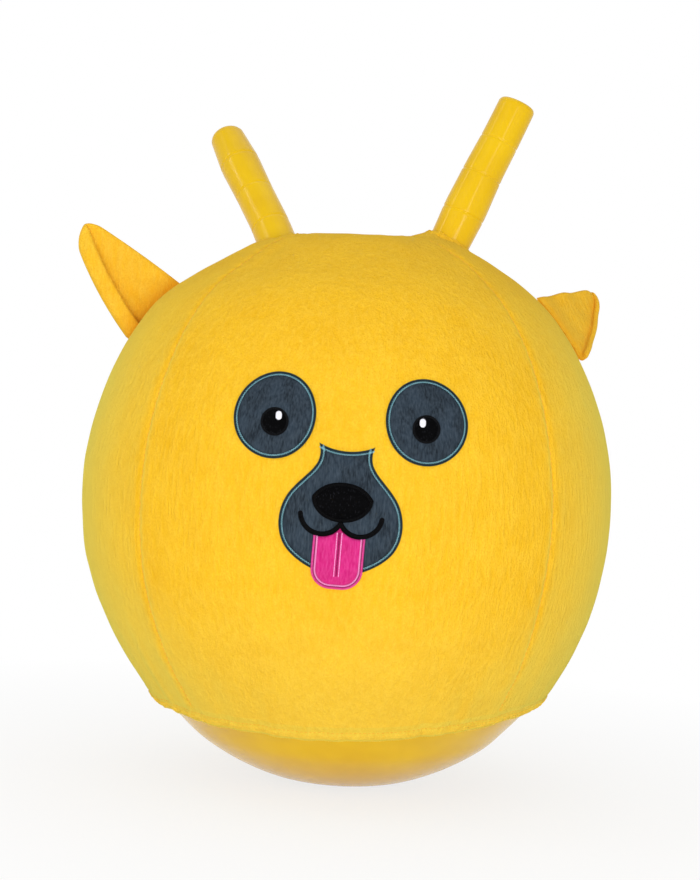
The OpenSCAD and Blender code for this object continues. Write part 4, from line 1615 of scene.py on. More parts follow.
        # Distance outside the ball, distance down the hem, and seed of each row of fibres
        rows = ((outer + 0.5, 9.2, 3), (outer + 0.6, 11.6, 4), (outer - 0.3, 14.4, 5), (outer - 0.7, 6.4, 6))
        tufts = []
        for off, low, seed in rows:
            tufts.append(self.runner.lay(
                f"pilling_{seed}", [self.around_hem(off, low)], closed=True, thread=self.shelf.get("pill"),
                pitch=0.75 + 0.05 * seed, length=3.0, width=0.42, height=0.42, lay=Lay.ACROSS, slant=22.0,
                seed=seed, wander=55.0))
        return dress(joined("hem_pilling", tufts), Body.BALL)

    def build(self) -> None:
        """Make the hem, its elastic and its stitches."""
        self.fold()
        self.elastic()
        self.stitches()
        self.pilling()


@dataclass
class PlushEar:
    """One floppy ear of two sewn layers, with a roll along its lower edge."""

    side: Side
    fold: float
    surface: ClothSurface
    shelf: MaterialShelf
    width: float = 70.5
    length: float = 92.0
    upper_draw: float = 12.0
    lower_draw: float = 38.0
    layer: float = 2.5
    roll_r: float = 5.5
    flap: float = 9.0
    play: float = 0.3
    seam_h: float = 2.6
    seam_half: float = 1.1
    seam_rise: float = 0.12
    tip_from: float = 0.86
    ripple: float = 1.2
    ripple_from: float = 0.3
    edge_round: float = 2.6
    root_shade: float = 0.5
    crease_shade: float = 0.45
    crease_until: float = 0.72
    rows: int = 60
    run_steps: int = 30
    roll_steps: int = 18
    flap_steps: int = 7

    def tip_close(self, s: float) -> float:
        """Share of the width that is left towards the tip."""
        if s <= self.tip_from:
            return 1.0
        return math.sqrt(max(0.02, 1.0 - ((s - self.tip_from) / (1.0 - self.tip_from)) ** 2))

    def thickness(self, s: float) -> float:
        """Thickness of one layer at a share of the length."""
        base = self.seam_half + (self.layer - self.seam_half) * clamp01(s / 0.05)
        return base * (0.45 + 0.55 * self.tip_close(s))

    def flat_run(self, s: float) -> tuple[float, float]:
        """Where the flat run across the ear begins, and its length."""
        upper = -self.width / 2 + self.upper_draw * s
        lower = self.width / 2 - self.lower_draw * (0.6 * s + 0.4 * s * s)
        length = (lower - upper - self.roll_r - self.layer) * self.tip_close(s)
        return (lower + upper - self.roll_r - self.layer - length) / 2, length

    def middle(self, s: float, j: int) -> tuple[float, float, float, float]:
        """Place on the ear's middle surface.

        Args:
            s: Share of the ear's length.
            j: Step across the ear.

        Returns:
            Place across, place forward, the surface's turn, and the run across so far.
        """
        close = self.tip_close(s)
        roll = max(self.roll_r * close, self.thickness(s) + 0.3)
        start, run = self.flat_run(s)
        if j <= self.run_steps:
            across = run * j / self.run_steps
            return start + across, 0.0, 0.0, across
        part = min(1.0, (j - self.run_steps) / self.roll_steps)
        angle = math.pi * part
        x, forward = start + run + roll * math.sin(angle), roll * (1 - math.cos(angle))
        walked = run + roll * angle
        if j > self.run_steps + self.roll_steps:
            flap = self.flap * close * (j - self.run_steps - self.roll_steps) / self.flap_steps
            x -= flap
            walked += flap
        return x, forward * (1.0 - 0.5 * smooth((s - 0.75) / 0.2)), angle, walked

    def stand(self) -> Matrix:
        """Transform that puts the ear on the cover and folds it back."""
        angle = math.radians(self.surface.ear_angle)
        form = self.surface.form
        shoulder = form.arcs[2]
        far = shoulder.radius + self.surface.outer_off
        seat = Vector((far * math.cos(angle), 0.0, form.mid_z + shoulder.h + far * math.sin(angle)))
        hinge = Matrix.Translation((0, 0, self.seam_h))
        folded = hinge @ Matrix.Rotation(math.radians(-self.fold), 4, "X") @ hinge.inverted()
        placed = Matrix.Translation(seat) @ Matrix.Rotation(math.pi / 2 - angle, 4, "Y") @ folded
        if self.side is Side.LEFT:
            placed = Matrix.Scale(-1, 4, Vector((1, 0, 0))) @ placed
        return placed

    def soften(self, s: float, across: float, total: float) -> float:
        """Small forward waves of the soft cloth at a place on the ear."""
        spot = Vector((across / 26.0, s * 3.4, 5.0 + self.side.value))
        edge = max(1.0 - across / 16.0, 1.0 - (total - across) / 16.0, 0.0)
        wave = math.sin(s * 15.0 + 1.3 * self.side.value) * edge
        return smooth(s / self.ripple_from) * self.ripple * (1.3 * noise.noise(spot) + 0.8 * wave)

    def sheets(self, low: float, high: float) -> tuple[list[Vector], list[Vector], list[float]]:
        """Points of the two faces of one layer.

        Args:
            low: Place of the layer's back face, in layers forward of the middle.
            high: Place of its front face.

        Returns:
            Points of the front face, points of the back face, and how shaded each is.
        """
        columns = self.run_steps + self.roll_steps + self.flap_steps
        turned = self.stand()
        faces: tuple[list[Vector], list[Vector]] = ([], [])
        shades = []
        lie = self.surface.form.arcs[2].radius + self.surface.outer_off
        for i in range(self.rows + 1):
            s = i / self.rows
            total = self.middle(s, columns)[3]
            thick = self.thickness(s)
            for j in range(columns + 1):
                x, forward, angle, walked = self.middle(s, j)
                border = min(walked, total - walked, (1.0 - s) * self.length * 0.9)
                round_off = math.sqrt(max(0.06, 1.0 - (1.0 - clamp01(border / self.edge_round)) ** 2))
                soft = self.soften(s, walked, total)
                crease = self.crease_shade * (1.0 - smooth((s - self.crease_until) / 0.18))
                past = walked - self.flat_run(s)[1]
                shades.append(self.root_shade * bell(s, 0.13) + crease * bell(past, 4.0))
                for sheet, g in ((faces[0], high), (faces[1], low)):
                    off = g * thick * round_off
                    px = x - off * math.sin(angle)
                    fwd = forward + off * math.cos(angle)
                    foot = self.play - px * px / (2 * lie) + self.seam_rise * forward
                    made = turned @ Vector((px, -(fwd + soft), foot + (self.length - foot) * s))
                    root = turned @ Vector((px, 0.0, foot))
                    drop = self.surface.settling.sunk(root.x, root.z - self.surface.form.mid_z)
                    sheet.append(made - Vector((0.0, 0.0, drop * (1.0 - s) ** 2)))
        return faces[0], faces[1], [clamp01(v) for v in shades]

    def layer_piece(self, which: str, low: float, high: float) -> bpy.types.Object:
        """Make one of the ear's two layers.

        Args:
            which: Which of the two it is, front or back.
            low: Place of its back face, in layers.
            high: Place of its front face.

        Returns:
            The layer.
        """
        front, back, shades = self.sheets(low, high)
        columns = self.run_steps + self.roll_steps + self.flap_steps + 1
        faces = []
        for i in range(self.rows):
            for j in range(columns - 1):
                here = i * columns + j
                face = (here, here + 1, here + columns + 1, here + columns)
                faces.append(face if self.side is Side.RIGHT else tuple(reversed(face)))
        name, node = f"{self.side.word}_ear_{which}", f"ear_{self.side.word}_{which}"
        mesh = shell_mesh(name, faces, front, back, {"fold_shade": shades})
        piece = object_of(name, mesh, sharp_over=70.0)
        body = Body.EAR_LEFT if self.side is Side.LEFT else Body.EAR_RIGHT
        dress(piece, body, [node], self.shelf.get("ear_plush"))
        return piece

    def build(self) -> None:
        """Make both layers."""
        self.layer_piece("front", 0.01, 1.0)
        self.layer_piece("back", -1.0, -0.01)


def inside(outline: Outline, x: float, y: float) -> bool:
    """Whether a point lies inside a closed outline."""
    found = False
    for k, (bx, by) in enumerate(outline):
        ax, ay = outline[k - 1]
        if (ay > y) != (by > y) and x < (bx - ax) * (y - ay) / (by - ay) + ax:
            found = not found
    return found


def bounded(outlines: Sequence[Outline], x: float, y: float) -> bool:
    """Whether a place lies inside the first outline and outside all the others."""
    return inside(outlines[0], x, y) and not any(inside(hole, x, y) for hole in outlines[1:])


def bezier(points: Sequence[Flat], count: int) -> Outline:
    """Points of a cubic curve, without its last one."""
    line = []
    for k in range(count):
        t = k / count
        u = 1.0 - t
        weights = (u ** 3, 3 * u * u * t, 3 * u * t * t, t ** 3)
        line.append(tuple(sum(w * p[axis] for w, p in zip(weights, points)) for axis in (0, 1)))
    return line


def arc_line(middle: Flat, radius: float, first: float, last: float, count: int) -> Outline:
    """Points of an arc about a middle, from one angle in degrees to another."""
    angles = (math.radians(first + (last - first) * k / count) for k in range(count + 1))
    return [(middle[0] + radius * math.cos(a), middle[1] + radius * math.sin(a)) for a in angles]


def drawn_in(outline: Outline, inset: float) -> Outline:
    """A clockwise outline moved inwards by a distance."""
    moved = []
    count = len(outline)
    for k in range(count):
        before, here, after = outline[k - 1], outline[k], outline[(k + 1) % count]
        first = Vector((here[0] - before[0], here[1] - before[1])).normalized()
        second = Vector((after[0] - here[0], after[1] - here[1])).normalized()
        n1, n2 = Vector((-first.y, first.x)), Vector((-second.y, second.x))
        shift = inset * (n1 + n2) / (1.0 + n1.dot(n2))
        moved.append((here[0] - shift.x, here[1] - shift.y))
    return moved


def mirrored(half: Outline) -> Outline:
    """A half outline from the top down its right side, with its mirror image."""
    return half + [(-x, y) for x, y in reversed(half) if x > 0.01]


@dataclass
class PuppyFace:
    """The appliqued and embroidered face: eyes, muzzle, nose, mouth and tongue."""

    surface: ClothSurface
    shelf: MaterialShelf
    runner: ThreadRun
    muzzle_x: float = -3.5
    muzzle_turn: float = 0.035
    eye_x: float = 57.2
    eye_h: float = 73.4
    eye_len: float = 33.3
    eye_wid: float = 31.0
    eye_lean: float = 25.0
    pupil_r: float = 10.8
    pupil_drop: float = 5.3
    catch_r: float = 2.35
    catch_tall: float = 1.9
    catch_in: float = 3.0
    catch_up: float = 4.6
    muzzle_w: float = 93.0
    muzzle_top: float = 53.4
    muzzle_low: float = 44.5
    muzzle_tips: float = 42.0
    nose_w: float = 46.2
    nose_top: float = 25.3
    nose_low: float = 4.4
    mouth_r: float = 16.2
    mouth_x: float = 14.5
    mouth_h: float = 2.0
    mouth_line: float = 3.7
    mouth_end: float = 7.0
    tongue_w: float = 39.0
    tongue_low: float = 55.2
    tongue_r: float = 15.0
    edging_w: float = 2.5
    dark_w: float = 1.9
    dark_in: float = 0.9
    light_w: float = 1.7
    light_in: float = 2.45
    face_in: float = 5.05
    patch_t: float = 1.2
    edging_t: float = 1.8
    top_in: float = 6.3
    stitch_t: float = 1.1
    nose_t: float = 1.8
    catch_t: float = 0.7
    edge_low: float = 0.42
    edge_rise: float = 0.58
    puff_reach: float = 9.0
    row_share: float = 0.87
    dent_half: float = 1.3

    @property
    def band_top(self) -> float:
        """Distance of an edging's own band from the ball's surface, below its stitches."""
        return self.face_in + self.edging_t - 0.5

    def applique(self, name: str, outlines: Sequence[Outline], low: float, high: float, pitch: float,
                 edge: float = 1.0, puff: float = 0.0, dent: Callable[[float, float], float] | None = None,
                 shift: float = 0.0) -> bpy.types.Object:
        """Make a closed piece of cloth that follows the cover's surface.

        Args:
            name: Name of the object.
            outlines: Its closed outline in front view, and then those of its holes.
            low: Distance of its back from the ball's surface.
            high: Distance of its front.
            pitch: Distance between the points inside it.
            edge: Width over which its edge rounds off.
            puff: How much its middle stands out further.
            dent: Extra height at a place.
            shift: Sideways shift of the whole shape.

        Returns:
            The object, without a material.
        """
        points, edges = [], []
        for outline in outlines:
            first, count = len(points), len(outline)
            points += [Vector(p) for p in outline]
            edges += [(first + k, first + (k + 1) % count) for k in range(count)]
        xs, ys = [p.x for p in points], [p.y for p in points]
        rim = KDTree(len(points))
        for k, p in enumerate(points):
            rim.insert((p.x, p.y, 0.0), k)
        rim.balance()
        draw = random.Random(11)
        row = 0
        y = min(ys)
        while y < max(ys):
            x = min(xs) + (pitch / 2 if row % 2 else 0.0)
            while x < max(xs):
                spot = (x + draw.uniform(-0.1, 0.1) * pitch, y + draw.uniform(-0.1, 0.1) * pitch)
                if bounded(outlines, *spot) and rim.find((*spot, 0.0))[2] > 0.5 * pitch:
                    points.append(Vector(spot))
                x += pitch
            y += pitch * self.row_share
            row += 1
        flat, _, triangles, *_ = delaunay_2d_cdt(points, edges, [], 0, 1e-5)
        faces = []
        for a, b, c in triangles:
            mid = (flat[a] + flat[b] + flat[c]) / 3
            area = (flat[b] - flat[a]).cross(flat[c] - flat[a])
            if abs(area) > 1e-7 and bounded(outlines, mid.x, mid.y):
                faces.append((a, b, c) if area > 0 else (a, c, b))
        border = open_edges(faces)
        tree = KDTree(2 * len(border))
        for k, (a, b) in enumerate(border):
            middle = (flat[a] + flat[b]) / 2
            tree.insert((flat[a].x, flat[a].y, 0.0), 2 * k)
            tree.insert((middle.x, middle.y, 0.0), 2 * k + 1)
        tree.balance()
        outer, inner = [], []
        for p in flat:
            away = tree.find((p.x, p.y, 0.0))[2]
            rounded = math.sqrt(max(0.0, 1.0 - (1.0 - clamp01(away / edge)) ** 2))
            top = low + (high - low) * (self.edge_low + self.edge_rise * rounded)
            top += puff * smooth(away / self.puff_reach)
            if dent is not None:
                top += dent(p.x, p.y)
            x, y = self.spot(p.x, p.y, shift)
            outer.append(self.surface.on_face(x, y, top)[0])
            inner.append(self.surface.on_face(x, y, low)[0])
        return object_of(name, shell_mesh(name, faces, outer, inner), sharp_over=75.0)

    def line(self, flat: Outline, off: float, shift: float = 0.0) -> list[tuple[Vector, Vector]]:
        """Points and normals of a line on the face."""
        return [self.surface.on_face(*self.spot(x, y, shift), off) for x, y in flat]

    def spot(self, x: float, y: float, shift: float) -> Flat:
        """Where a place of a shape lies. The muzzle's group is shifted and a little turned."""
        turn = self.muzzle_turn if shift else 0.0
        return x + shift + turn * y, y - turn * x

    def egg(self, side: Side, inset: float) -> Outline:
        """Outline of an eye patch, drawn in by a distance."""
        lean = math.radians(-side.value * self.eye_lean)
        wide, tall = self.eye_wid - inset, self.eye_len - inset
        outline = []
        for around in bearings(96):
            a = -around
            x, y = wide * math.cos(a) * (1 - 0.04 * math.sin(a)), tall * math.sin(a)
            outline.append((side.value * self.eye_x + x * math.cos(lean) + y * math.sin(lean),
                            self.eye_h + y * math.cos(lean) - x * math.sin(lean)))
        return outline

    def muzzle(self) -> Outline:
        """Outline of the muzzle patch."""
        w, tip = self.muzzle_w / 2, self.muzzle_tips / 2
        low, tall = -self.muzzle_low, self.muzzle_top + self.muzzle_low
        dip, cheek, jaw = low + 0.951 * tall, low + 0.638 * tall, low + 0.163 * tall
        top = self.muzzle_top
        half = bezier([(0, dip), (0.35 * tip, dip), (0.7 * tip, low + 0.967 * tall), (tip, top)], 12)
        half += bezier([(tip, top), (0.714 * tip, low + 0.837 * tall), (0.6 * w, low + 0.775 * tall),
                        (0.82 * w, cheek)], 22)
        half += bezier([(0.82 * w, cheek), (1.05 * w, low + 0.506 * tall), (1.07 * w, low + 0.286 * tall),
                        (0.82 * w, jaw)], 26)
        half += bezier([(0.82 * w, jaw), (0.63 * w, low + 0.072 * tall), (0.32 * w, low), (0, low)], 22)
        return mirrored(half + [(0.0, low)])

    def nose_outline(self) -> Outline:
        """Outline of the nose."""
        w, low, tall = self.nose_w / 2, -self.nose_low, self.nose_top + self.nose_low
        wide = low + 0.609 * tall
        half = bezier([(0, self.nose_top), (0.39 * w, self.nose_top), (0.74 * w, low + 0.906 * tall),
                       (w, wide)], 24)
        half += bezier([(w, wide), (1.0 * w, low + 0.30 * tall), (0.60 * w, low), (0, low)], 24)
        return mirrored(half + [(0.0, low)])

    def tongue_outline(self, inset: float) -> Outline:
        """Outline of the tongue below the mouth, drawn in at its sides and tip."""
        x, low = self.tongue_w / 2 - inset, inset - self.tongue_low
        disc = self.mouth_r + self.mouth_line / 2
        top = [(x * k / 20, self.mouth_h - math.sqrt(disc ** 2 - (x * k / 20 - self.mouth_x) ** 2))
               for k in range(21)]
        return mirrored(top + self.tongue_corner(inset) + [(0.0, low)])

    def tongue_dent(self, x: float, y: float) -> float:
        """Height lost to the groove down the tongue's middle, which ends before its tip."""
        return -0.7 * bell(x, self.dent_half) * smooth((y + 48.0) / 8.0)

    def tongue_corner(self, inset: float) -> Outline:
        """The round corner at the right of the tongue's tip, drawn in by a distance."""
        x, r, low = self.tongue_w / 2 - inset, self.tongue_r - inset, inset - self.tongue_low
        return arc_line((x - r, low + r), r, 0.0, -90.0, 16)

    def mouth_lines(self) -> list[Outline]:
        """Middle lines of the mouth's two arcs, from the middle outwards."""
        inner = math.degrees(math.acos(-self.mouth_x / self.mouth_r))
        arc = arc_line((self.mouth_x, self.mouth_h), self.mouth_r, -inner, -self.mouth_end, 40)
        return [arc, [(-x, y) for x, y in arc]]

    def mouth_outline(self) -> Outline:
        """Outline of the mouth's thick line."""
        half_line = self.mouth_line / 2
        thin, thick = self.mouth_r - half_line, self.mouth_r + half_line
        cut = self.mouth_h - self.mouth_r / 4
        middle, end = (self.mouth_x, self.mouth_h), -self.mouth_end
        first = math.degrees(math.asin((self.mouth_h - cut) / thin)) - 180.0
        last = -math.degrees(math.acos(-self.mouth_x / thick))
        tip = arc_line(middle, self.mouth_r, end, end, 1)[0]
        half = [(0.0, cut)] + arc_line(middle, thin, first, end, 32)
        half += arc_line(tip, half_line, end + 180.0, end, 8)[1:-1]
        return mirrored(half + arc_line(middle, thick, end, last, 32))

    def stitched(self, name: str, lines: Sequence[Outline], off: float, finish: str, shift: float = 0.0,
                 closed: bool = False, lay: Lay = Lay.ACROSS, **sizes: float) -> bpy.types.Object:
        """Lay threads along lines of the face.

        Args:
            name: Name of the object.
            lines: Lines in front view.
            off: Distance from the ball's surface.
            finish: Finish of the thread.
            shift: Sideways shift of the shape.
            closed: Whether each line closes on itself.
            lay: Whether threads lie along or across the line.
            sizes: Pitch, length, width, height and slant of the threads.

        Returns:
            The threads.
        """
        return self.runner.lay(name, [self.line(line, off, shift) for line in lines], closed,
                               self.shelf.get(finish), lay=lay, **sizes)

    def satin_edge(self, name: str, body: bpy.types.Object, middle: Outline, closed: bool,
                   inner_line: Outline, thread: str, line_thread: str, node: str,
                   shift: float = 0.0) -> bpy.types.Object:
        """Finish an edging with its zigzag stitches and the line inside them.

        Args:
            name: Name of the piece.
            body: The edging's own band, without a material.
            middle: Middle line of the band.
            closed: Whether the line closes on itself.
            inner_line: Line of the finer thread on the band's inner side.
            thread: Finish of the zigzag.
            line_thread: Finish of the inner line.
            node: Solid that the piece stands for.
            shift: Sideways shift of the shape.

        Returns:
            The edging.
        """
        off = self.face_in + self.edging_t
        body.data.materials.append(self.shelf.get(thread))
        zigzag = self.stitched(name + "_zigzag", [middle], off - 0.25, thread, shift, closed, pitch=1.0,
                               length=self.dark_w, width=0.75, height=0.8, slant=17.0)
        inner = self.stitched(name + "_line", [inner_line], off - 0.2, line_thread, shift, closed, pitch=0.95,
                              length=self.light_w, width=0.6, height=0.7, slant=26.0)
        piece = joined(name, [body, zigzag, inner])
        return dress(piece, Body.BALL, [node])

    def eye(self, side: Side) -> None:
        """Make one eye: patch, edging, pupil and catchlight."""
        word = side.word
        inner, outer = self.egg(side, self.edging_w), self.egg(side, 0.0)
        patch = self.applique(f"{word}_eye_felt", [inner], self.face_in, self.face_in + self.patch_t,
                              pitch=2.0, puff=0.5)
        dress(patch, Body.BALL, [f"eye_patch_{word}"], self.shelf.get("slate"))
        band = self.applique(f"eye_band_{word}", [outer, inner], self.face_in, self.band_top, pitch=1.2)
        self.satin_edge(f"{word}_eye_edging", band, self.egg(side, self.dark_in), True,
                        self.egg(side, self.light_in), "dark_teal", "teal",
                        f"eye_edging_{word}")
        self.pupil(side)

    def disc(self, x: float, y: float, r: float, tall: float = 0.0, count: int = 64) -> Outline:
        """Clockwise outline of a disc, or of one stretched upwards."""
        outline = []
        for around in bearings(count):
            a = -around
            up = math.copysign(tall / 2, math.sin(a)) if abs(math.sin(a)) > 1e-9 else 0.0
            outline.append((x + r * math.cos(a), y + r * math.sin(a) + up))
        return outline

    def pupil(self, side: Side) -> None:
        """Make an eye's stitched pupil and its catchlight."""
        word = side.word
        x, y = side.value * self.eye_x, self.eye_h - self.pupil_drop
        round_eye = self.disc(x, y, self.pupil_r)
        body = self.applique(f"pupil_body_{word}", [round_eye], self.top_in,
                             self.top_in + self.stitch_t - 0.2, pitch=1.1, edge=1.4, puff=0.35)
        body.data.materials.append(self.shelf.get("embroidery"))
        rim = self.stitched(f"pupil_rim_{word}", [self.disc(x, y, self.pupil_r - 1.0)],
                            self.top_in + self.stitch_t - 0.1, "grey", closed=True, pitch=0.8, length=2.4,
                            width=0.75, height=0.7, slant=4.0)
        piece = joined(f"{word}_pupil", [body, rim])
        dress(piece, Body.BALL, [f"pupil_{word}"])
        spot = self.disc(x - side.value * self.catch_in, y + self.catch_up, self.catch_r, self.catch_tall, 40)
        low = self.top_in + self.stitch_t + 0.1
        catch = self.applique(f"{word}_catchlight", [spot], low, low + self.catch_t + 0.1, pitch=0.8,
                              edge=1.3, puff=0.2)
        dress(catch, Body.BALL, [f"catchlight_{word}"], self.shelf.get("white"))

    def muzzle_group(self) -> None:
        """Make the muzzle's patch and edging."""
        outer = self.muzzle()
        inner = drawn_in(outer, self.edging_w)
        tongue = self.tongue_outline(0.0)
        patch = self.applique("muzzle_felt", [inner, tongue], self.face_in, self.face_in + self.patch_t,
                              pitch=2.0, puff=0.5, shift=self.muzzle_x)
        dress(patch, Body.BALL, ["muzzle_patch"], self.shelf.get("slate"))
        band = self.applique("muzzle_band", [outer, inner, tongue], self.face_in, self.band_top, pitch=1.2,
                             shift=self.muzzle_x)
        middle = self.open_below(drawn_in(outer, self.dark_in), tongue)
        line = self.open_below(drawn_in(outer, self.light_in), tongue)
        self.satin_edge("muzzle_satin_edge", band, middle, False, line, "dark_teal", "teal",
                        "muzzle_edging", self.muzzle_x)

    def open_below(self, outline: Outline, tongue: Outline) -> Outline:
        """An outline as an open line that starts and ends at the tongue's sides."""
        count = len(outline)
        free = [not inside(tongue, *p) for p in outline]
        first = next(k for k in range(count) if free[k] and not free[k - 1])
        return [outline[(first + k) % count] for k in range(count) if free[(first + k) % count]]

    def nose(self) -> None:
        """Make the padded nose with its satin border."""
        outline = self.nose_outline()
        mouth = self.mouth_outline()
        pad = self.applique("nose_pad", [outline, mouth], self.top_in, self.top_in + self.nose_t - 0.4,
                            pitch=1.3, edge=2.2, puff=1.5, shift=self.muzzle_x)
        pad.data.materials.append(self.shelf.get("embroidery"))
        rim = self.stitched("nose_rim", [drawn_in(outline, 1.6)], self.top_in + self.nose_t + 0.15, "black",
                            self.muzzle_x, closed=True, pitch=0.75, length=3.4, height=0.9, slant=3.0)
        piece = joined("padded_nose", [pad, rim])
        dress(piece, Body.BALL, ["nose"])

    def mouth(self) -> None:
        """Make the mouth's thick satin line."""
        outline = self.mouth_outline()
        core = self.applique("mouth_core", [outline], self.top_in, self.top_in + self.stitch_t, pitch=0.9,
                             edge=1.8, shift=self.muzzle_x)
        core.data.materials.append(self.shelf.get("black"))
        satin = self.stitched("mouth_satin", self.mouth_lines(), self.top_in + self.stitch_t - 0.15, "black",
                              self.muzzle_x, pitch=0.75, length=self.mouth_line + 0.3, width=0.85, height=1.1,
                              slant=3.0)
        dress(joined("satin_mouth", [core, satin]), Body.BALL, ["mouth"])

    def tongue(self) -> None:
        """Make the tongue with its edging and its lines of stitching."""
        inner, outer = self.tongue_outline(self.edging_w), self.tongue_outline(0.0)
        felt = self.applique("tongue_felt", [inner], self.face_in, self.face_in + self.patch_t, pitch=1.5,
                             puff=0.7, dent=self.tongue_dent, shift=self.muzzle_x)
        dress(felt, Body.BALL, ["tongue"], self.shelf.get("pink"))
        band = self.applique("tongue_band", [outer, inner], self.face_in, self.band_top, pitch=1.1,
                             shift=self.muzzle_x)
        band.data.materials.append(self.shelf.get("pink_thread"))
        off = self.face_in + self.edging_t
        satin = self.stitched("tongue_satin", [self.round_tip(1.0)], off - 0.25, "pink_thread", self.muzzle_x,
                              pitch=0.85, length=2.2, width=0.75, height=0.8, slant=12.0)
        fine = self.stitched("tongue_fine", [self.round_tip(2.9)], off - 0.15, "pale_pink", self.muzzle_x,
                             pitch=0.8, length=1.7, width=0.65, height=0.8, slant=24.0)
        dark = self.stitched("tongue_dark", [self.round_tip(1.9)], off - 0.05, "wine", self.muzzle_x,
                             lay=Lay.ALONG, pitch=1.7, length=2.0, width=0.7, height=0.7)
        parts = [band, satin, fine, dark]
        for x, finish, width, lift in ((-1.8, "pale_pink", 0.8, 0.95), (0.0, "wine", 1.4, 0.45),
                                       (1.8, "pale_pink", 0.8, 0.95)):
            down = [(x, -13.0 - 0.9 * k) for k in range(36)]
            parts.append(self.stitched(
                f"tongue_middle_{len(parts)}", [down], self.face_in + self.patch_t + lift, finish,
                self.muzzle_x, lay=Lay.ALONG, pitch=1.9, length=2.1, width=width, height=0.6, slant=5.0))
        piece = joined("tongue_satin_edge", parts)
        dress(piece, Body.BALL, ["tongue_edging"])

    def round_tip(self, inset: float) -> Outline:
        """The open line down one side of the tongue, round its tip and up the other."""
        x, r, low = self.tongue_w / 2 - inset, self.tongue_r - inset, inset - self.tongue_low
        top = self.mouth_h - math.hypot(self.mouth_r, self.mouth_line / 2) - 0.6
        side = [(x, top + (low + r - top) * k / 24) for k in range(24)]
        half = side + self.tongue_corner(inset)
        return half + [(-px, py) for px, py in reversed(half)]

    def build(self) -> None:
        """Make the whole face."""
        for side in Side:
            self.eye(side)
        self.muzzle_group()
        self.tongue()
        self.mouth()
        self.nose()


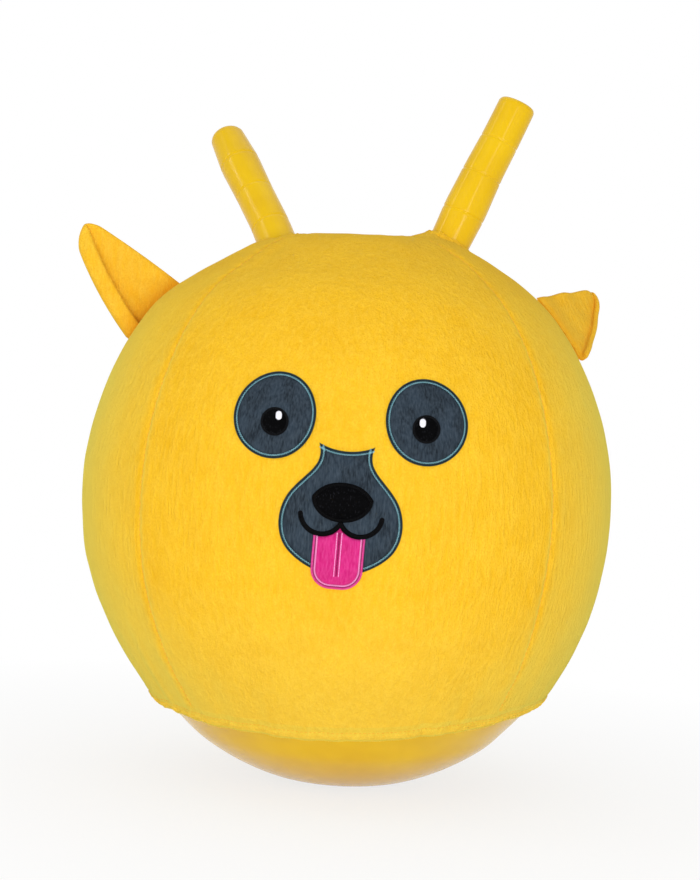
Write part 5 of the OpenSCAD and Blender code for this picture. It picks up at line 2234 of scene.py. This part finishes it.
@dataclass
class MouldedParts:
    """The moulding as it has settled, and the valve and plug as their solids have them."""

    surface: ClothSurface
    shelf: MaterialShelf
    wall: float = 1.6
    bulge: float = 1.5
    base_r: float = 210.31
    base_drop: float = 37.3
    patch_r: float = 32.0
    valve_room: float = 34.0
    valve_hole_r: float = 7.0
    valve_hole_ends: Flat = (8.0, -12.0)
    valve_still: float = 14.0
    bulge_from: float = 188.0
    bulge_over: float = 18.0
    bulge_in: float = 36.0
    valve_way: Vector = field(default_factory=lambda: Vector((0.0, 0.573576, -0.819152)))
    nodes: dict[str, str] = field(default_factory=lambda: {
        "valve_sleeve": "valve_vinyl", "valve_plug": "plug"})

    @property
    def base_middle(self) -> Vector:
        """Middle of the ball's lower cap."""
        return Vector((0.0, 0.0, self.surface.form.mid_z - self.base_drop))

    def on_ball(self, point: Vector) -> Vector:
        """Where a point of the unsettled ball now is.

        Args:
            point: A point of the ball's skin.

        Returns:
            The settled point. The valve and the flat patch keep their heights.
        """
        valve = self.base_middle + self.valve_way * self.base_r
        calm = smooth(((point - valve).length - self.valve_still) / self.valve_room)
        r, h = math.hypot(point.x, point.y), point.z - self.surface.form.mid_z
        lift = calm * self.bulge * smooth((-h - self.bulge_from) / self.bulge_over)
        lift *= smooth((r - self.patch_r - 2.0) / self.bulge_in)
        out = (point - self.base_middle).normalized()
        return point.lerp(self.surface.settled(point), calm if h < 0.0 else 1.0) + out * lift

    def ball_rows(self, off: float, steps: int) -> list[Flat]:
        """Rows of the ball's skin from under its crown to inside its flat patch.

        Args:
            off: Distance outside the outer skin.
            steps: Rows down to the lower cap.

        Returns:
            Radius and height from the ball's middle of each row.
        """
        form = self.surface.form
        end = form.run_at(-form.base_angle)
        rows = [form.section(end * k / steps, -form.base_angle, off)[:2] for k in range(1, steps + 1)]
        far, floor = self.base_r + off, -form.mid_z - off
        first, last = math.radians(-form.base_angle), math.asin((floor + self.base_drop) / far)
        count = steps // 3
        for k in range(1, count + 1):
            angle = first + (last - first) * k / count
            rows.append((far * math.cos(angle), far * math.sin(angle) - self.base_drop))
        edge = rows[-1][0]
        return rows + [(edge * (1 - k / 5), floor) for k in range(1, 5)]

    def ball(self, name: str, off: float, steps: int, turns: int) -> bpy.types.Mesh:
        """Make the ball's outer or inner skin.

        Args:
            name: Name of the mesh.
            off: Distance outside the outer skin.
            steps: Rows down to the lower cap.
            turns: Points round the ball.

        Returns:
            The skin as a closed mesh.
        """
        form = self.surface.form
        rows = self.ball_rows(off, steps)
        loops = [[self.on_ball(Vector((r * math.cos(a), r * math.sin(a), form.mid_z + h)))
                  for a in bearings(turns)] for r, h in rows]
        crown = Vector((0.0, 0.0, form.mid_z + form.section(0.0, -form.base_angle, off)[1]))
        patch = Vector((0.0, 0.0, -off))
        return capped_mesh(name, self.on_ball(crown), loops, self.on_ball(patch))

    def valve_hole(self) -> bpy.types.Mesh:
        """Make the round core that leaves the hole for the valve."""
        across = Vector((1.0, 0.0, 0.0))
        beside = self.valve_way.cross(across)
        ends = [self.base_middle + self.valve_way * (self.base_r + along) for along in self.valve_hole_ends]
        loops = [[middle + (across * math.cos(a) + beside * math.sin(a)) * self.valve_hole_r
                  for a in bearings(64)] for middle in ends]
        return capped_mesh("valve_hole", ends[0], loops, ends[1])

    def moulding(self) -> bpy.types.Object:
        """Make the hollow ball with its two horns as one closed wall.

        Returns:
            The moulding.
        """
        base = put("moulding_base", self.ball("ball_outside", 0.0, steps=100, turns=192))
        horns = self.surface.horns.values()
        steps = [("UNION", horn.skin("horn_outside", 0.0, step=2.5, turns=72)) for horn in horns]
        steps.append(("DIFFERENCE", self.ball("ball_inside", -self.wall, steps=60, turns=120)))
        steps += [("DIFFERENCE", horn.skin("horn_inside", -self.wall, step=4.0, turns=48)) for horn in horns]
        steps.append(("DIFFERENCE", self.valve_hole()))
        tools = []
        for operation, mesh in steps:
            tool = put(mesh.name, mesh)
            tools.append(tool)
            modifier = base.modifiers.new(mesh.name, "BOOLEAN")
            modifier.operation, modifier.object, modifier.solver = operation, tool, "MANIFOLD"
        graph = bpy.context.evaluated_depsgraph_get()
        mesh = bpy.data.meshes.new_from_object(base.evaluated_get(graph))
        mesh.name = "moulded_ball_and_horns"
        mesh.materials.clear()
        for tool in (base, *tools):
            bpy.data.objects.remove(tool)
        piece = object_of("moulded_ball_and_horns", mesh, sharp_over=35.0)
        return dress(piece, Body.BALL, ["ball_skin"], self.shelf.get("vinyl"))

    def build(self) -> None:
        """Make the moulding, and give each other solid its own material."""
        self.moulding()
        for node, finish in self.nodes.items():
            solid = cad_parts[node]
            solid.data.materials.clear()
            solid.data.materials.append(self.shelf.get(finish))
            log.info("solid %s has the finish %s", node, finish)


@dataclass
class Studio:
    """Floor, soft lamps and the camera of the photograph."""

    form: BallForm
    distance: float = 1518.0
    elevation: float = 3.0
    roll: float = 3.0
    lens: float = 70.69
    image: tuple[int, int] = (700, 880)
    middle_at: Flat = (346.7, 500.7)
    lit: tuple[float, float, float] = (0.0, 0.0, 0.28)
    soft_light: float = 0.61
    floor_r: float = 9.0
    floor_drop: float = 0.0004

    def camera(self) -> bpy.types.Object:
        """Set up the camera.

        Returns:
            The camera.
        """
        data = bpy.data.cameras.new("photo_camera")
        data.lens = self.lens
        long_side = max(self.image)
        data.shift_x = (self.image[0] / 2 - self.middle_at[0]) / long_side
        data.shift_y = (self.middle_at[1] - self.image[1] / 2) / long_side
        data.clip_start, data.clip_end = 0.05, 40.0
        camera = put("photo_camera", data)
        aim = Vector((0, 0, self.form.mid_z * MM))
        tilt = math.radians(self.elevation)
        camera.location = aim + Vector((0, -math.cos(tilt), math.sin(tilt))) * self.distance * MM
        look = (aim - camera.location).to_track_quat("-Z", "Y").to_matrix()
        camera.rotation_euler = (look @ Matrix.Rotation(math.radians(self.roll), 3, "Z")).to_euler()
        bpy.context.scene.camera = camera
        return camera

    def white_ray(self, tree: bpy.types.NodeTree) -> bpy.types.NodeSocket:
        """1 for rays from the camera, reflections and glass, which see plain white paper."""
        path = add_node(tree, "ShaderNodeLightPath").outputs
        shown = add_node(tree, "ShaderNodeMath", {"operation": "MAXIMUM"}, {
            0: path["Is Camera Ray"], 1: path["Is Glossy Ray"]})
        return add_node(tree, "ShaderNodeMath", {"operation": "MAXIMUM"}, {
            0: shown.outputs[0], 1: path["Is Transmission Ray"]}).outputs[0]

    def world(self) -> None:
        """White surroundings for the camera and for reflections, and an even soft light."""
        world = bpy.data.worlds.new("studio")
        world.use_nodes = True
        tree = world.node_tree
        tree.nodes.clear()
        seen = add_node(tree, "ShaderNodeBackground", inputs={"Color": (1, 1, 1, 1), "Strength": 1.0})
        lit = add_node(tree, "ShaderNodeBackground", inputs={
            "Color": (1, 1, 1, 1), "Strength": self.soft_light})
        mixed = add_node(tree, "ShaderNodeMixShader", inputs={
            0: self.white_ray(tree), 1: lit.outputs[0], 2: seen.outputs[0]})
        add_node(tree, "ShaderNodeOutputWorld", inputs={0: mixed.outputs[0]})
        bpy.context.scene.world = world

    def floor(self) -> None:
        """A plain pale floor that fades to white away from the object."""
        build = bmesh.new()
        bmesh.ops.create_circle(build, cap_ends=True, segments=96, radius=self.floor_r)
        bmesh.ops.translate(build, verts=build.verts, vec=(0, 0, -self.floor_drop))
        mesh = bpy.data.meshes.new("floor")
        build.to_mesh(mesh)
        build.free()
        material, tree, shader = start_material("matte_white_paper")
        connect(tree, shader, {"Base Color": linear("#F4F4F2"), "Roughness": 0.9, "Specular IOR Level": 0.1})
        glow = add_node(tree, "ShaderNodeEmission", inputs={"Color": (1, 1, 1, 1), "Strength": 1.0})
        place = add_node(tree, "ShaderNodeTexCoord")
        far = add_node(tree, "ShaderNodeVectorMath", {"operation": "LENGTH"}, {0: place.outputs["Object"]})
        away = share(tree, far.outputs["Value"], 0.12, 0.7, 0.78, 1.0)
        seen = add_node(tree, "ShaderNodeMath", {"operation": "MULTIPLY"}, {0: away, 1: self.white_ray(tree)})
        mixed = add_node(tree, "ShaderNodeMixShader", inputs={
            0: seen.outputs[0], 1: shader.outputs[0], 2: glow.outputs[0]})
        output = next(n for n in tree.nodes if n.type == "OUTPUT_MATERIAL")
        tree.links.new(mixed.outputs[0], output.inputs[0])
        mesh.materials.append(material)
        put("floor", mesh)

    def lamp(self, name: str, place: tuple[float, float, float], size: Flat, power: float) -> None:
        """Add one soft lamp, so wide and so tall, that faces the object."""
        data = bpy.data.lights.new(name, "AREA")
        data.shape = "RECTANGLE"
        data.size, data.size_y = size
        data.energy = power
        lamp = put(name, data)
        lamp.location = place
        lamp.rotation_euler = (Vector(self.lit) - Vector(place)).to_track_quat("-Z", "Y").to_euler()

    def build(self) -> None:
        """Set the stage."""
        self.camera()
        self.world()
        self.floor()
        self.lamp("key", (-1.5, -2.1, 1.3), size=(1.5, 1.5), power=3.0)
        self.lamp("fill", (1.9, -1.9, 1.0), size=(1.6, 1.6), power=3.4)
        self.lamp("top", (0.0, 0.4, 2.6), size=(1.8, 1.8), power=4.8)
        self.lamp("low_front", (0.0, -1.7, 0.17), size=(1.4, 0.32), power=11.0)
        self.lamp("left_strip", (-1.92, -0.32, 1.3), size=(0.2, 1.4), power=4.5)
        self.lamp("right_strip", (0.6, -2.3, 0.4), size=(0.12, 1.1), power=5.0)
        bpy.context.scene.view_settings.view_transform = "Standard"


def main() -> None:
    """Build every sub-assembly in order and report the pieces."""
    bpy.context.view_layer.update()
    form = BallForm()
    left = (Station(-20, 17.5, 8), Station(-6.5, 17.5, 8), Station(28, 17.0, 8.5), Station(64, 16.9, 6.5),
            Station(100.5, 18.0, 4.5), Station(139, 15.0, 2.8))
    right = (Station(-20, 17.4, -2.5), Station(0, 17.6, -2.5), Station(35.5, 19.0, -2),
             Station(72, 17.6, -1.6), Station(104, 16.8, 0.2), Station(138, 16.4, 1))
    horns = {Side.LEFT: Horn(Side.LEFT, form, left, (24.0, 64.0, 100.5), sunk=8.0),
             Side.RIGHT: Horn(Side.RIGHT, form, right, (31.0, 67.5, 99.5), lean=22.0, bend=0.0)}
    surface = ClothSurface(form, horns)
    shelf = MaterialShelf(Finishes())
    runner = ThreadRun()
    Studio(form).build()
    MouldedParts(surface, shelf).build()
    PlushCover(surface, shelf, runner).build()
    ElasticHem(surface, shelf, runner).build()
    PlushEar(Side.LEFT, 0.0, surface, shelf, seam_rise=-0.2).build()
    PlushEar(Side.RIGHT, 56.0, surface, shelf, upper_draw=24.0, flap=1.0, roll_r=2.8, ripple=1.6,
             root_shade=0.2, crease_shade=0.1).build()
    PuppyFace(surface, shelf, runner).build()


if __name__ == "__main__":
    main()
